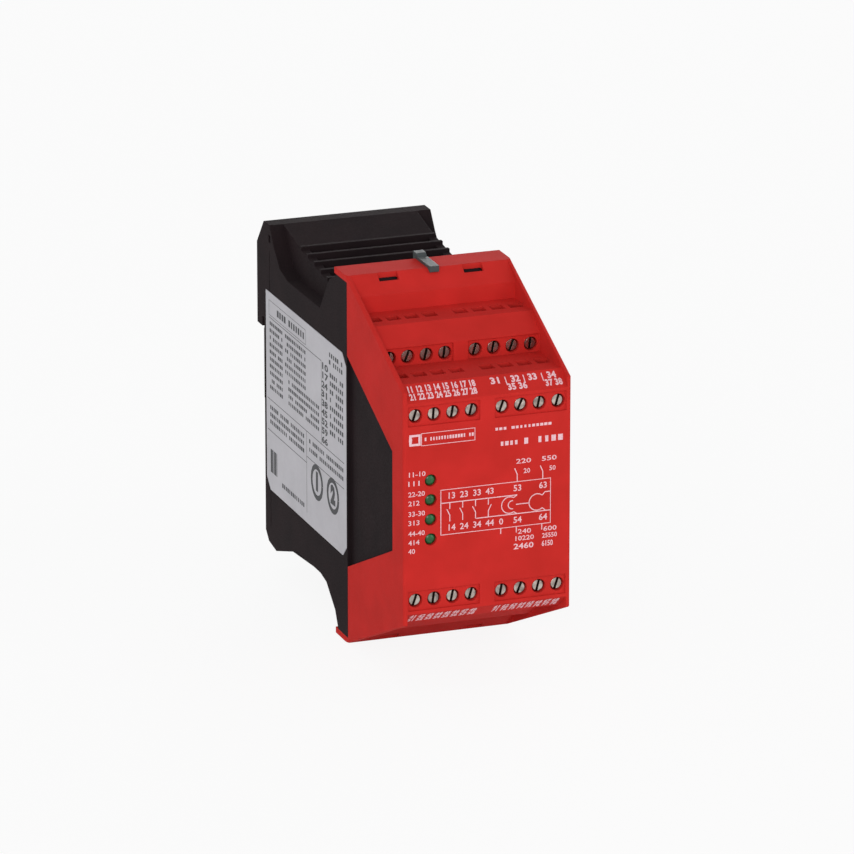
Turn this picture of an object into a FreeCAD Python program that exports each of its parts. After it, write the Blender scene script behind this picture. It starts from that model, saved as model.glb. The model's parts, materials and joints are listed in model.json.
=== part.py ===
import FreeCAD, Part
import os
import re
import Sketcher

# Safety relay module for a 35 mm top-hat rail: a red front cover with stepped terminal decks,
# a black rear housing that hooks on the rail, 32 clamp screws, and the boards, relays and
# supply inside.
#
# Every body is drawn in the module's own axes: X across the width, Y the depth behind the front
# face, Z the rise above mid-height. A body's Placement then moves it to the part's frame, whose
# origin is the middle of the rail seat: +Y points to the rail, +Z up.

DIMENSIONS = {
    # envelope, and where the rail sits in it
    "module_width": 45.0,
    "module_height": 99.0,
    "seat_depth": 108.6,
    "rail_offset": 2.3,
    # play between pieces
    "fit_gap": 0.1,
    "running_gap": 0.15,
    "slide_gap": 0.2,
    # front cover: walls, cheeks and the cut-out in each cheek
    "cover_wall": 1.6,
    "cheek_wall": 1.1,
    "nose_height": 61.6,
    "cheek_depth": 42.4,
    "strip_depth": 43.0,
    "cover_depth": 52.0,
    "notch_depth": 8.2,
    "notch_front_height": 26.4,
    "notch_rear_height": 56.8,
    "cheek_round": 0.7,
    # terminal decks: the front one, the rear one, and the brow under the top strip
    "face_height": 55.8,
    "front_bevel": 4.7,
    "front_deck_rise": 31.6,
    "rear_setback": 19.5,
    "rear_riser_rise": 36.7,
    "rear_bevel": 6.3,
    "rear_deck_rise": 40.8,
    "brow_setback": 37.5,
    "brow_rise": 45.2,
    # snap windows in the brow and the hooks that fill them
    "window_spacing": 23.0,
    "window_width": 5.3,
    "window_depth": 40.9,
    "hook_sink": 0.3,
    # terminals: two groups of poles in each row
    "pole_pitch": 5.0,
    "group_gap": 8.2,
    "front_row_rise": 24.4,
    "rear_row_rise": 33.8,
    "field_height": 5.2,
    "field_margin": 2.1,
    "field_sink": 0.5,
    "wire_width": 3.6,
    "wire_depth": 3.6,
    # clamp screws
    "head_diameter": 3.4,
    "head_height": 1.8,
    "head_sink": 1.2,
    "core_diameter": 1.8,
    "core_length": 6.4,
    "slot_width": 0.7,
    "slot_depth": 0.9,
    # terminal strips, clamp cages and contact bars
    "shelf_wall": 1.0,
    "well_wall": 1.0,
    "tongue_wall": 1.0,
    "cage_width": 3.4,
    "cage_wall": 0.5,
    "cage_height": 5.0,
    "cage_length": 7.7,
    "cage_setback": 6.0,
    "bar_width": 2.0,
    "bar_wall": 0.8,
    # rear housing: walls and side profile
    "side_wall": 2.0,
    "inner_wall": 1.0,
    "shoulder_depth": 42.5,
    "throat_depth": 50.0,
    "throat_knee_rise": 45.0,
    "throat_foot_depth": 52.5,
    "throat_foot_drop": 43.4,
    "throat_bend_depth": 59.3,
    "throat_bend_drop": 38.0,
    "plate_lap": 2.2,
    "grip_front_depth": 63.5,
    "grip_rear_depth": 89.2,
    "grip_rise": 35.3,
    "grip_bend_depth": 95.4,
    "grip_bend_rise": 36.9,
    "grip_end_depth": 99.7,
    "grip_end_rise": 41.1,
    "grip_width": 3.8,
    "grille_front_rise": 39.2,
    "grille_front_depth": 56.0,
    "grille_rear_rise": 43.5,
    "grille_rear_depth": 90.3,
    "block_depth": 103.7,
    "block_rise": 46.5,
    "belly_front_depth": 63.9,
    "belly_rear_depth": 82.0,
    "belly_drop": 37.0,
    "foot_depth": 99.7,
    "foot_drop": 42.4,
    "foot_slope": 1.0,
    "foot_chamfer": 2.5,
    "groove_width": 0.3,
    "pin_hole_width": 1.5,
    "pin_hole_height": 2.0,
    "pin_hole_rise": 42.8,
    # grille slots and the ribs between them
    "slot_pitch": 5.2,
    "slot_gap": 2.6,
    "slot_length": 33.0,
    "rib_height": 0.9,
    "rib_wall": 1.3,
    # rail hook, seat and rail
    "rail_width": 35.0,
    "rail_wall": 1.0,
    "rail_play": 0.3,
    "hook_reach": 5.4,
    "hook_overlap": 2.5,
    "hook_rise": 39.5,
    "seat_pad": 0.3,
    # rail latch, its channel and its spring
    "channel_width": 16.4,
    "channel_neck": 12.4,
    "channel_depth": 5.9,
    "channel_step": 3.0,
    "channel_top": -3.0,
    "channel_lip": 1.0,
    "latch_top": -10.0,
    "latch_overlap": 2.0,
    "latch_travel": 3.0,
    "latch_reach": 3.9,
    "tip_bevel": 1.0,
    "arm_bevel": 2.0,
    "driver_wall": 1.0,
    "driver_slot": 1.5,
    "latch_window_width": 6.4,
    "latch_window_top": -24.0,
    "latch_window_bottom": -35.0,
    "stop_height": 2.5,
    "spring_diameter": 4.4,
    "spring_wire": 0.7,
    # side label
    "label_front_depth": 43.2,
    "label_rear_depth": 107.0,
    "label_top": 28.2,
    "label_bottom": -26.5,
    "label_wall": 0.2,
    "label_corner": 3.0,
    # cover catch on the top strip
    "catch_width": 2.6,
    "catch_shift": 0.8,
    "catch_wall": 0.8,
    "catch_rise": 1.6,
    "catch_tip": 1.8,
    "catch_foot_rise": 41.5,
    # boards
    "board_wall": 1.6,
    "terminal_board_depth": 44.0,
    "terminal_board_bottom": 18.9,
    "logic_board_shift": -15.2,
    "logic_board_front": 5.1,
    "logic_board_rear": 100.3,
    "logic_nose_height": 29.0,
    "logic_neck_height": 37.0,
    "logic_main_depth": 46.5,
    "logic_main_height": 66.0,
    # indicators
    "led_diameter": 3.0,
    "led_pitch": 5.2,
    "led_middle": -0.6,
    "led_front": 0.2,
    # components on the logic board
    "relay_depth": 52.0,
    "relay_length": 20.0,
    "relay_height": 28.0,
    "relay_width": 24.0,
    "relay_spacing": 31.0,
    "transformer_depth": 74.0,
    "transformer_length": 25.0,
    "transformer_height": 38.0,
    "transformer_width": 30.0,
    "capacitor_diameter": 12.5,
    "capacitor_length": 25.0,
    "capacitor_depth": 84.0,
    "capacitor_rise": 26.0,
    "header_width": 2.5,
    "header_length": 5.5,
    "header_height": 11.0,
    "header_middle": 26.0,
}

POLES_PER_GROUP = 4
ROUND_SIDES = 16
GRILLE_SLOTS = 5
LED_COUNT = 4

# How far each screw head is turned, in degrees, along a row from left to right.
SLOT_ANGLES = {
    "upper_front": (18, 4, 10, 14, 20, 24, 12, 16),
    "upper_rear": (10, 22, 14, 8, 16, 12, 20, 6),
    "lower_front": (20, 8, 12, 16, 10, 22, 14, 18),
    "lower_rear": (12, 16, 6, 20, 10, 14, 24, 8),
}

ALIAS = re.compile(r"[a-z]+(?:_[a-z]+)*")

doc = FreeCAD.newDocument("SafetyRelay")
dims = doc.addObject("Spreadsheet::Sheet", "dims")
for row, (alias, value) in enumerate(DIMENSIONS.items(), start=1):
    dims.set(f"A{row}", alias)
    dims.set(f"B{row}", str(value))
    dims.setAlias(f"B{row}", alias)
doc.recompute()


# ---------------------------------------------------------------- drawing helpers


def tied(formula):
    """The formula with each size read from the sheet."""
    return ALIAS.sub(
        lambda word: f"dims.{word[0]}" if word[0] in DIMENSIONS else word[0], str(formula)
    )


def size(formula):
    """The formula's present value in millimetres."""
    return float(dims.evalExpression(tied(formula)))


def new_body(label, x="0", depth="0", rise="0", turn=0.0):
    """A body whose own origin stands at the given place in the module's axes."""
    body = doc.addObject("PartDesign::Body", label)
    body.Label = label
    body.AllowCompound = True
    body.Placement.Rotation = FreeCAD.Rotation(FreeCAD.Vector(0, 1, 0), turn)
    body.setExpression(".Placement.Base.x", tied(x))
    body.setExpression(".Placement.Base.y", tied(f"{depth} - seat_depth"))
    body.setExpression(".Placement.Base.z", tied(f"{rise} - rail_offset"))
    return body


class Outlines:
    """The lines and circles of one sketch, each point held by the sheet's sizes."""

    def __init__(self):
        self.geometry = []
        self.joins = []
        self.holds = []

    def polygon(self, corners):
        """A closed outline through the given corners."""
        places = [FreeCAD.Vector(size(x), size(y), 0) for x, y in corners]
        first = len(self.geometry)
        last = first + len(places) - 1
        for side, (start, end) in enumerate(zip(places, places[1:] + places[:1]), start=first):
            self.geometry.append(Part.LineSegment(start, end))
            following = first if side == last else side + 1
            self.joins.append(Sketcher.Constraint("Coincident", side, 2, following, 1))
            self.hold(side, 1, corners[side - first])

    def circle(self, x, y, diameter):
        """A circle about the given centre."""
        middle = FreeCAD.Vector(size(x), size(y), 0)
        self.geometry.append(Part.Circle(middle, FreeCAD.Vector(0, 0, 1), size(diameter) / 2))
        circle = len(self.geometry) - 1
        self.hold(circle, 3, (x, y))
        self.holds.append((Sketcher.Constraint("Diameter", circle, size(diameter)), diameter))

    def hold(self, geometry, point, place):
        """Keep one point at two distances from the sketch's origin."""
        for kind, formula in zip(("DistanceX", "DistanceY"), place):
            distance = Sketcher.Constraint(kind, -1, 1, geometry, point, size(formula))
            self.holds.append((distance, formula))

    def draw_in(self, sketch):
        """Put everything in the sketch and tie it to the sheet."""
        sketch.addGeometry(self.geometry)
        sketch.addConstraint(self.joins + [constraint for constraint, formula in self.holds])
        for number, (constraint, formula) in enumerate(self.holds, start=len(self.joins)):
            sketch.setExpression(f"Constraints[{number}]", tied(formula))


def origin_plane(body, role):
    """One of the body's own origin planes."""
    return next(item for item in body.Origin.OriginFeatures if item.Role == role)


def sketch_on(body, plane, name, polygons=(), circles=(), offset="0"):
    """A sketch on one of the body's origin planes, moved along that plane's normal."""
    sketch = body.newObject("Sketcher::SketchObject", f"{body.Label}_{name}_sketch")
    sketch.AttachmentSupport = (origin_plane(body, plane), [""])
    sketch.MapMode = "FlatFace"
    sketch.setExpression("AttachmentOffset.Base.z", tied(offset))
    outlines = Outlines()
    for corners in polygons:
        outlines.polygon(corners)
    for x, y, diameter in circles:
        outlines.circle(x, y, diameter)
    outlines.draw_in(sketch)
    return sketch


def side_sketch(body, name, *polygons, x="0"):
    """Outlines in depth and rise, seen from the side."""
    return sketch_on(body, "YZ_Plane", name, polygons, offset=x)


def front_sketch(body, name, polygons=(), circles=(), depth="0"):
    """Outlines in width and rise, seen from the front."""
    return sketch_on(body, "XZ_Plane", name, polygons, circles, offset=f"-({depth})")


def top_sketch(body, name, polygons=(), circles=(), rise="0"):
    """Outlines in width and depth, seen from above."""
    return sketch_on(body, "XY_Plane", name, polygons, circles, offset=rise)


def add(body, name, sketch, length, midplane=False, back=False):
    """Pad a sketch: to both sides of it, along its normal, or against it."""
    pad = body.newObject("PartDesign::Pad", f"{body.Label}_{name}")
    pad.Profile = sketch
    pad.setExpression("Length", tied(length))
    pad.Midplane = midplane
    pad.Reversed = back
    sketch.Visibility = False
    return pad


def cut(body, name, sketch, length, midplane=False, back=False):
    """Pocket a sketch: to both sides of it, against its normal, or along it."""
    pocket = body.newObject("PartDesign::Pocket", f"{body.Label}_{name}")
    pocket.Profile = sketch
    pocket.setExpression("Length", tied(length))
    pocket.Midplane = midplane
    pocket.Reversed = back
    sketch.Visibility = False
    return pocket


def stud(body, name, rear, diameter, length):
    """A round stud about the depth axis, from its rear end forwards, with ROUND_SIDES flats."""
    shape = body.newObject("PartDesign::AdditivePrism", f"{body.Label}_{name}")
    shape.AttachmentSupport = (origin_plane(body, "XZ_Plane"), [""])
    shape.MapMode = "FlatFace"
    shape.Polygon = ROUND_SIDES
    shape.setExpression("AttachmentOffset.Base.z", tied(f"-({rear})"))
    shape.setExpression("Circumradius", tied(f"({diameter}) / 2"))
    shape.setExpression("Height", tied(length))
    return shape


def mirror_upwards(body, features):
    """Repeat features of the upper half in the lower half."""
    mirrored = body.newObject("PartDesign::Mirrored", f"{body.Label}_lower_half")
    mirrored.Originals = features
    mirrored.MirrorPlane = (origin_plane(body, "XY_Plane"), [""])
    body.Tip = mirrored
    return mirrored


def round_edges(body, name, radius, chosen):
    """Round the edges of the body's last feature that the test picks."""
    doc.recompute()
    base = body.Tip
    names = [f"Edge{i}" for i, edge in enumerate(base.Shape.Edges, start=1) if chosen(edge)]
    if not names:
        raise RuntimeError(f"{body.Label}_{name} finds no edge to round")
    fillet = body.newObject("PartDesign::Fillet", f"{body.Label}_{name}")
    fillet.Base = (base, names)
    fillet.setExpression("Radius", tied(radius))
    return fillet


def rectangle(left, right, low, high):
    """The four corners of a rectangle."""
    return [(left, low), (right, low), (right, high), (left, high)]


def centred(middle, width, low, high):
    """A rectangle about a middle line."""
    return rectangle(f"{middle} - ({width}) / 2", f"{middle} + ({width}) / 2", low, high)


def round_outline(x, y, diameter):
    """A circle drawn with ROUND_SIDES flats, which keeps a repeated hole light."""
    turns = [f"{place} * 360 deg / {ROUND_SIDES}" for place in range(ROUND_SIDES)]
    radius = f"({diameter}) / 2"
    return [(f"{x} + {radius} * cos({turn})", f"{y} + {radius} * sin({turn})") for turn in turns]


def flipped(corners):
    """An outline in depth and rise, turned upside down."""
    return [(depth, f"-({rise})") for depth, rise in corners]


# ---------------------------------------------------------------- places that several pieces share

HALF_HEIGHT = "module_height / 2"
COVER_INSIDE = "module_width - 2 * cheek_wall"
STRIP_WIDTH = f"({COVER_INSIDE} - 2 * fit_gap)"
TONGUE_WIDTH = f"({STRIP_WIDTH} - 2 * inner_wall - 2 * fit_gap)"
HOLE_DIAMETER = "head_diameter + 2 * running_gap"
HEAD_REAR = "(head_sink + head_height)"

POLE_PLACES = [
    f"{side} * (group_gap / 2 + {step} * pole_pitch)"
    for side, steps in ((-1, reversed(range(POLES_PER_GROUP))), (1, range(POLES_PER_GROUP)))
    for step in steps
]
GROUP_MIDDLES = [
    f"{side} * (group_gap / 2 + {POLES_PER_GROUP - 1} / 2 * pole_pitch)" for side in (-1, 1)
]
GROUP_WIDTH = f"({POLES_PER_GROUP - 1} * pole_pitch + 2 * field_margin)"

HOOK_ROOT = "(brow_rise - cover_wall - hook_sink)"
BOARD_TOP = f"({HOOK_ROOT} - slide_gap)"

RAIL_TOP = "(rail_offset + rail_width / 2)"
RAIL_BOTTOM = "(rail_offset - rail_width / 2)"
RAIL_REAR = "(seat_depth + rail_wall + rail_play)"


class Row:
    """One row of eight terminals: which way it faces and where its riser, screws and deck are.

    The riser's outer edge and the bevel's depth give the slope between the riser and the deck.
    """

    def __init__(self, name, sign, riser, rise, edge, bevel, deck):
        self.name = name
        self.sign = sign
        self.riser = riser
        self.rise = rise
        self.deck = deck
        self.shelf_front = f"({riser} + {HEAD_REAR} + running_gap)"
        self.well_front = f"({self.shelf_front} + shelf_wall)"
        self.cage_front = f"({riser} + cage_setback)"
        self.cage_rear = f"({self.cage_front} + cage_length)"
        self.strip_rear = f"({self.cage_rear} + slide_gap + well_wall)"
        self.strip_top = f"({deck} - cover_wall - fit_gap)"
        self.bevel_rear = f"({riser} + {bevel} + cover_wall)"
        slope = f"({deck} - {edge}) / {bevel}"
        self.shelf_top = f"({self.strip_top} - ({self.bevel_rear} - {self.shelf_front}) * {slope})"
        self.floor = f"({rise} - cage_height / 2 - slide_gap)"
        self.strip_bottom = f"({self.floor} - well_wall)"
        self.bar_front = f"({riser} + {HEAD_REAR} + core_length + slide_gap)"
        self.wire_middle = f"(({self.bar_front} + bar_wall + {self.cage_rear} - cage_wall) / 2)"

    def facing(self, corners):
        """An outline drawn for an upper row, turned over for a lower one."""
        return corners if self.sign > 0 else flipped(corners)

    def level(self, rise):
        """A rise above mid-height for an upper row, or the drop below it for a lower one."""
        return rise if self.sign > 0 else f"-({rise})"


ROW_SIZES = {
    "front": ("0", "front_row_rise", "face_height / 2", "front_bevel", "front_deck_rise"),
    "rear": ("rear_setback", "rear_row_rise", "rear_riser_rise", "rear_bevel", "rear_deck_rise"),
}
ROWS = [
    Row(f"{level}_{place}", sign, *sizes)
    for level, sign in (("upper", 1), ("lower", -1))
    for place, sizes in ROW_SIZES.items()
]
UPPER_ROWS = [row for row in ROWS if row.sign > 0]

# The stepped front between the cheeks, from the face's top edge up to the top strip.
DECK_STEPS = [
    ("0", "face_height / 2"),
    ("front_bevel", "front_deck_rise"),
    ("rear_setback", "front_deck_rise"),
    ("rear_setback", "rear_riser_rise"),
    ("rear_setback + rear_bevel", "rear_deck_rise"),
    ("brow_setback", "rear_deck_rise"),
    ("brow_setback", "brow_rise"),
    ("strip_depth", HALF_HEIGHT),
]


# ---------------------------------------------------------------- front cover


def front_cover():
    """The red moulding: cheeks, stepped terminal decks, face and the strips that lap the housing."""
    body = new_body("front_cover")
    upper_cheek = [
        ("0", "nose_height / 2"),
        ("strip_depth", HALF_HEIGHT),
        ("cover_depth", HALF_HEIGHT),
        ("cover_depth", f"{HALF_HEIGHT} - cover_wall"),
        ("cheek_depth", f"{HALF_HEIGHT} - cover_wall"),
        ("cheek_depth", "notch_rear_height / 2"),
        ("notch_depth", "notch_front_height / 2"),
    ]
    outline = upper_cheek + flipped(reversed(upper_cheek))
    add(body, "outline", side_sketch(body, "outline", outline), "module_width", midplane=True)

    upper_inside = [(f"{d} + cover_wall", f"{r} - cover_wall") for d, r in DECK_STEPS]
    upper_inside.append(("cover_depth + cover_wall", f"{HALF_HEIGHT} - cover_wall"))
    inside = upper_inside + flipped(reversed(upper_inside))
    cut(body, "inside", side_sketch(body, "inside", inside), COVER_INSIDE, midplane=True)

    above = f"{HALF_HEIGHT} + cover_wall"
    steps = DECK_STEPS + [("strip_depth", above), ("-cover_wall", above)]
    steps.append(("-cover_wall", "face_height / 2"))
    upper = [cut(body, "decks", side_sketch(body, "decks", steps), COVER_INSIDE, midplane=True)]

    for row in UPPER_ROWS:
        upper += terminal_openings(body, row)

    windows = [
        centred(f"{side} * window_spacing / 2", "window_width", "window_depth", "strip_depth")
        for side in (-1, 1)
    ]
    window_sketch = top_sketch(body, "windows", windows, rise=HALF_HEIGHT)
    upper.append(cut(body, "windows", window_sketch, f"{HALF_HEIGHT} - brow_rise + cover_wall"))
    mirror_upwards(body, upper)

    light_diameter = "(led_diameter + 2 * fit_gap)"
    lights = [round_outline("logic_board_shift", rise, light_diameter) for rise in LED_RISES]
    cut(body, "lights", front_sketch(body, "lights", lights), "2 * cover_wall")

    half_width = size("module_width") / 2
    nose = size("nose_height") / 2
    tail = size(HALF_HEIGHT)
    depth = size("strip_depth")

    def on_cheek_front(edge):
        """Whether an edge runs along the outer front or sloping border of a cheek."""
        ends = [vertex.Point for vertex in edge.Vertexes]
        if len(ends) != 2 or any(abs(abs(end.x) - half_width) > 1e-3 for end in ends):
            return False
        borders = [nose + (tail - nose) * end.y / depth for end in ends]
        slopes = all(abs(abs(end.z) - b) < 1e-3 for end, b in zip(ends, borders))
        front = all(abs(end.y) < 1e-3 for end in ends)
        return front or slopes

    round_edges(body, "cheek_round", "cheek_round", on_cheek_front)
    return body


def terminal_openings(body, row):
    """One row's screw guides, sunk fields, screw holes and wire entries in the cover."""
    guide_front = f"{row.riser} + cover_wall"
    guide = [
        centred("0", COVER_INSIDE, f"{row.rise} - field_height / 2", f"{row.rise} + field_height / 2")
    ]
    guide_sketch = front_sketch(body, f"{row.name}_guide", guide, depth=guide_front)
    features = [
        add(body, f"{row.name}_guide", guide_sketch, f"{HEAD_REAR} - cover_wall", back=True)
    ]

    fields = [
        centred(
            middle,
            GROUP_WIDTH,
            f"{row.rise} - field_height / 2",
            f"{row.rise} + field_height / 2",
        )
        for middle in GROUP_MIDDLES
    ]
    field_sketch = front_sketch(body, f"{row.name}_fields", fields, depth=row.riser)
    features.append(cut(body, f"{row.name}_fields", field_sketch, "field_sink"))

    holes = [round_outline(x, row.rise, HOLE_DIAMETER) for x in POLE_PLACES]
    hole_sketch = front_sketch(body, f"{row.name}_holes", holes, depth=row.riser)
    features.append(cut(body, f"{row.name}_holes", hole_sketch, f"{HEAD_REAR} + fit_gap"))

    entries = [
        centred(
            x,
            "wire_width",
            f"{row.wire_middle} - wire_depth / 2",
            f"{row.wire_middle} + wire_depth / 2",
        )
        for x in POLE_PLACES
    ]
    entry_sketch = top_sketch(body, f"{row.name}_entries", entries, rise=row.deck)
    features.append(cut(body, f"{row.name}_entries", entry_sketch, "cover_wall + fit_gap / 2"))
    return features


LED_RISES = [
    f"led_middle + {(LED_COUNT - 1) / 2 - place} * led_pitch" for place in range(LED_COUNT)
]


# ---------------------------------------------------------------- rear housing

GRILLE_SLOPE = (
    "((grille_rear_rise - grille_front_rise) / (grille_rear_depth - grille_front_depth))"
)
SLOT_DEPTHS = [
    f"(grille_rear_depth - rib_wall - slot_gap - {place} * slot_pitch)"
    for place in range(GRILLE_SLOTS)
]


def rear_housing():
    """The black moulding: shell, rail hook, finger grips, grilles, latch channel and snap hooks."""
    body = new_body("rear_housing")
    housing_shell(body)
    housing_inside(body)
    housing_front_plates(body)
    housing_grilles(body)
    housing_latch_channel(body)
    housing_snap_hooks(body)
    housing_side_details(body)
    return body


def housing_shell(body):
    """The full-width side profile, and the narrower, taller middle between the finger grips."""
    strip_rise = f"({HALF_HEIGHT} - cover_wall)"
    seat = "seat_depth"
    back = "(seat_depth - seat_pad)"
    hook_rear = "(seat_depth + hook_reach)"
    hook_tip = f"({RAIL_TOP} - hook_overlap)"
    pocket_top = f"({RAIL_TOP} + rail_play)"
    profile = [
        ("shoulder_depth", strip_rise),
        ("throat_depth", strip_rise),
        ("grille_front_depth", "throat_knee_rise"),
        ("grip_front_depth", "grip_rise"),
        ("grip_rear_depth", "grip_rise"),
        ("grip_bend_depth", "grip_bend_rise"),
        ("grip_end_depth", "grip_end_rise"),
        ("block_depth", "block_rise"),
        (back, "block_rise"),
        (hook_rear, "hook_rise"),
        (hook_rear, hook_tip),
        (RAIL_REAR, hook_tip),
        (RAIL_REAR, pocket_top),
        (back, pocket_top),
        (back, hook_tip),
        (seat, f"{hook_tip} - seat_pad"),
        (seat, "channel_top + channel_lip"),
        (back, "channel_top + channel_lip - seat_pad"),
        (back, "-(foot_drop - foot_slope - foot_chamfer)"),
        (f"{back} - foot_chamfer", "-(foot_drop - foot_slope)"),
        ("foot_depth", "-foot_drop"),
        ("belly_rear_depth", "-belly_drop"),
        ("belly_front_depth", "-belly_drop"),
        ("throat_bend_depth", "-throat_bend_drop"),
        ("throat_foot_depth", "-throat_foot_drop"),
        ("throat_depth", f"-{strip_rise}"),
        ("shoulder_depth", f"-{strip_rise}"),
    ]
    add(body, "profile", side_sketch(body, "profile", profile), "module_width", midplane=True)

    middle = [
        ("grille_front_depth", "grille_front_rise"),
        ("grille_rear_depth", "grille_rear_rise"),
        ("block_depth", "block_rise"),
        ("block_depth + side_wall", "block_rise"),
        ("block_depth + side_wall", "-(foot_drop - foot_slope)"),
        ("foot_depth", "-foot_drop"),
        ("grille_front_depth", "-grille_front_rise"),
    ]
    sketch = side_sketch(body, "middle", middle)
    add(body, "middle", sketch, "module_width - 2 * grip_width", midplane=True)


def housing_inside(body):
    """The hollow that holds the boards, open to the front, and its raised part below the grille."""
    floor_depth = "(seat_depth - seat_pad - channel_depth - side_wall)"
    rear_depth = "(seat_depth - seat_pad - side_wall)"
    strip_rise = f"({HALF_HEIGHT} - cover_wall - side_wall)"
    hollow = [
        ("shoulder_depth - side_wall", strip_rise),
        ("throat_depth - inner_wall", strip_rise),
        ("grip_front_depth - side_wall", "grip_rise - side_wall"),
        (rear_depth, "grip_rise - side_wall"),
        (rear_depth, "channel_top + side_wall"),
        (floor_depth, "channel_top + side_wall"),
        (floor_depth, "-(belly_drop - side_wall)"),
        ("belly_front_depth", "-(belly_drop - side_wall)"),
        ("throat_foot_depth - inner_wall", "-(throat_foot_drop - side_wall - inner_wall)"),
        ("throat_depth - inner_wall", f"-{strip_rise}"),
        ("shoulder_depth - side_wall", f"-{strip_rise}"),
    ]
    inside_width = "module_width - 2 * side_wall"
    cut(body, "hollow", side_sketch(body, "hollow", hollow), inside_width, midplane=True)

    front = "(grip_front_depth - side_wall)"
    slope_front = f"(grille_front_rise + ({front} - grille_front_depth) * {GRILLE_SLOPE})"
    raised = [
        (front, "grip_rise - 2 * side_wall"),
        (front, f"{slope_front} - side_wall"),
        ("grille_rear_depth", "grille_rear_rise - side_wall"),
        ("block_depth - side_wall", "grille_rear_rise - side_wall"),
        ("block_depth - side_wall", "grip_rise - 2 * side_wall"),
    ]
    raised_width = "module_width - 2 * grip_width - 2 * side_wall"
    cut(body, "raised", side_sketch(body, "raised", raised), raised_width, midplane=True)


def housing_front_plates(body):
    """The two thin side plates that stand inside the cover's cheeks and show in their cut-outs."""
    outer = "(module_width / 2 - cheek_wall - fit_gap)"
    upper = [
        ("notch_depth - plate_lap", "notch_front_height / 2 + plate_lap"),
        ("shoulder_depth", "notch_rear_height / 2 + plate_lap"),
        ("shoulder_depth + side_wall", "notch_rear_height / 2 + plate_lap"),
    ]
    plate = upper + flipped(reversed(upper))
    for side, name in ((-1, "left_plate"), (1, "right_plate")):
        plane = f"{side} * ({outer} - inner_wall / 2)"
        sketch = side_sketch(body, name, plate, x=plane)
        add(body, name, sketch, "inner_wall", midplane=True)
    corner = "(module_width / 2 - side_wall)"
    joint = f"({outer} - inner_wall)"
    for side, name in ((-1, "left_step"), (1, "right_step")):
        low, high = sorted((f"{side} * {joint}", f"{side} * (module_width / 2)"), key=size)
        step = rectangle(low, high, "-notch_rear_height / 2", "notch_rear_height / 2")
        sketch = front_sketch(body, name, [step], depth="shoulder_depth")
        add(body, name, sketch, f"module_width / 2 - {corner}", back=True)


def housing_grilles(body):
    """Rows of vent slots in the top and the underside, with a rib along the rear of each slot."""
    above = "(block_rise + rib_height)"
    ribs = []
    for depth in SLOT_DEPTHS:
        rise = f"(grille_front_rise + ({depth} + slot_gap - grille_front_depth) * {GRILLE_SLOPE})"
        rib_front = f"{depth} + slot_gap"
        ribs.append(
            [
                (rib_front, f"{rise} - rib_height"),
                (rib_front, f"{rise} + rib_height"),
                (f"{rib_front} + rib_wall", f"{rise} + rib_height"),
                (f"{rib_front} + rib_wall", f"{rise} - rib_height"),
            ]
        )
    rib_sketch = side_sketch(body, "ribs", *ribs)
    add(body, "ribs", rib_sketch, "module_width - 2 * grip_width", midplane=True)

    slots = [centred("0", "slot_length", depth, f"{depth} + slot_gap") for depth in SLOT_DEPTHS]
    top = top_sketch(body, "top_slots", slots, rise=above)
    cut(body, "top_slots", top, f"{above} - grip_rise + 2 * side_wall")
    low = top_sketch(body, "bottom_slots", slots[1:], rise=f"-{above}")
    cut(body, "bottom_slots", low, f"{above} - belly_drop + 2 * side_wall", back=True)


def housing_latch_channel(body):
    """The T-shaped channel that guides the rail latch, and the stop that carries its spring."""
    back = "(seat_depth - seat_pad)"
    bottom = "-(foot_drop + side_wall)"
    wide = [centred("0", "channel_width", bottom, "channel_top")]
    neck = [centred("0", "channel_neck", bottom, "channel_top")]
    wide_sketch = front_sketch(body, "channel", wide, depth=f"{back} - channel_depth")
    cut(body, "channel", wide_sketch, "channel_step")
    neck_sketch = front_sketch(body, "neck", neck, depth=f"{back} - channel_depth")
    cut(body, "neck", neck_sketch, "channel_depth + 2 * seat_pad")

    stop = [
        centred(
            "0",
            "latch_window_width - 2 * slide_gap",
            "latch_window_bottom + fit_gap",
            "latch_window_bottom + fit_gap + stop_height",
        )
    ]
    stop_sketch = front_sketch(body, "stop", stop, depth=f"{back} - channel_depth")
    add(body, "stop", stop_sketch, "channel_depth - 2 * slide_gap", back=True)


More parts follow.
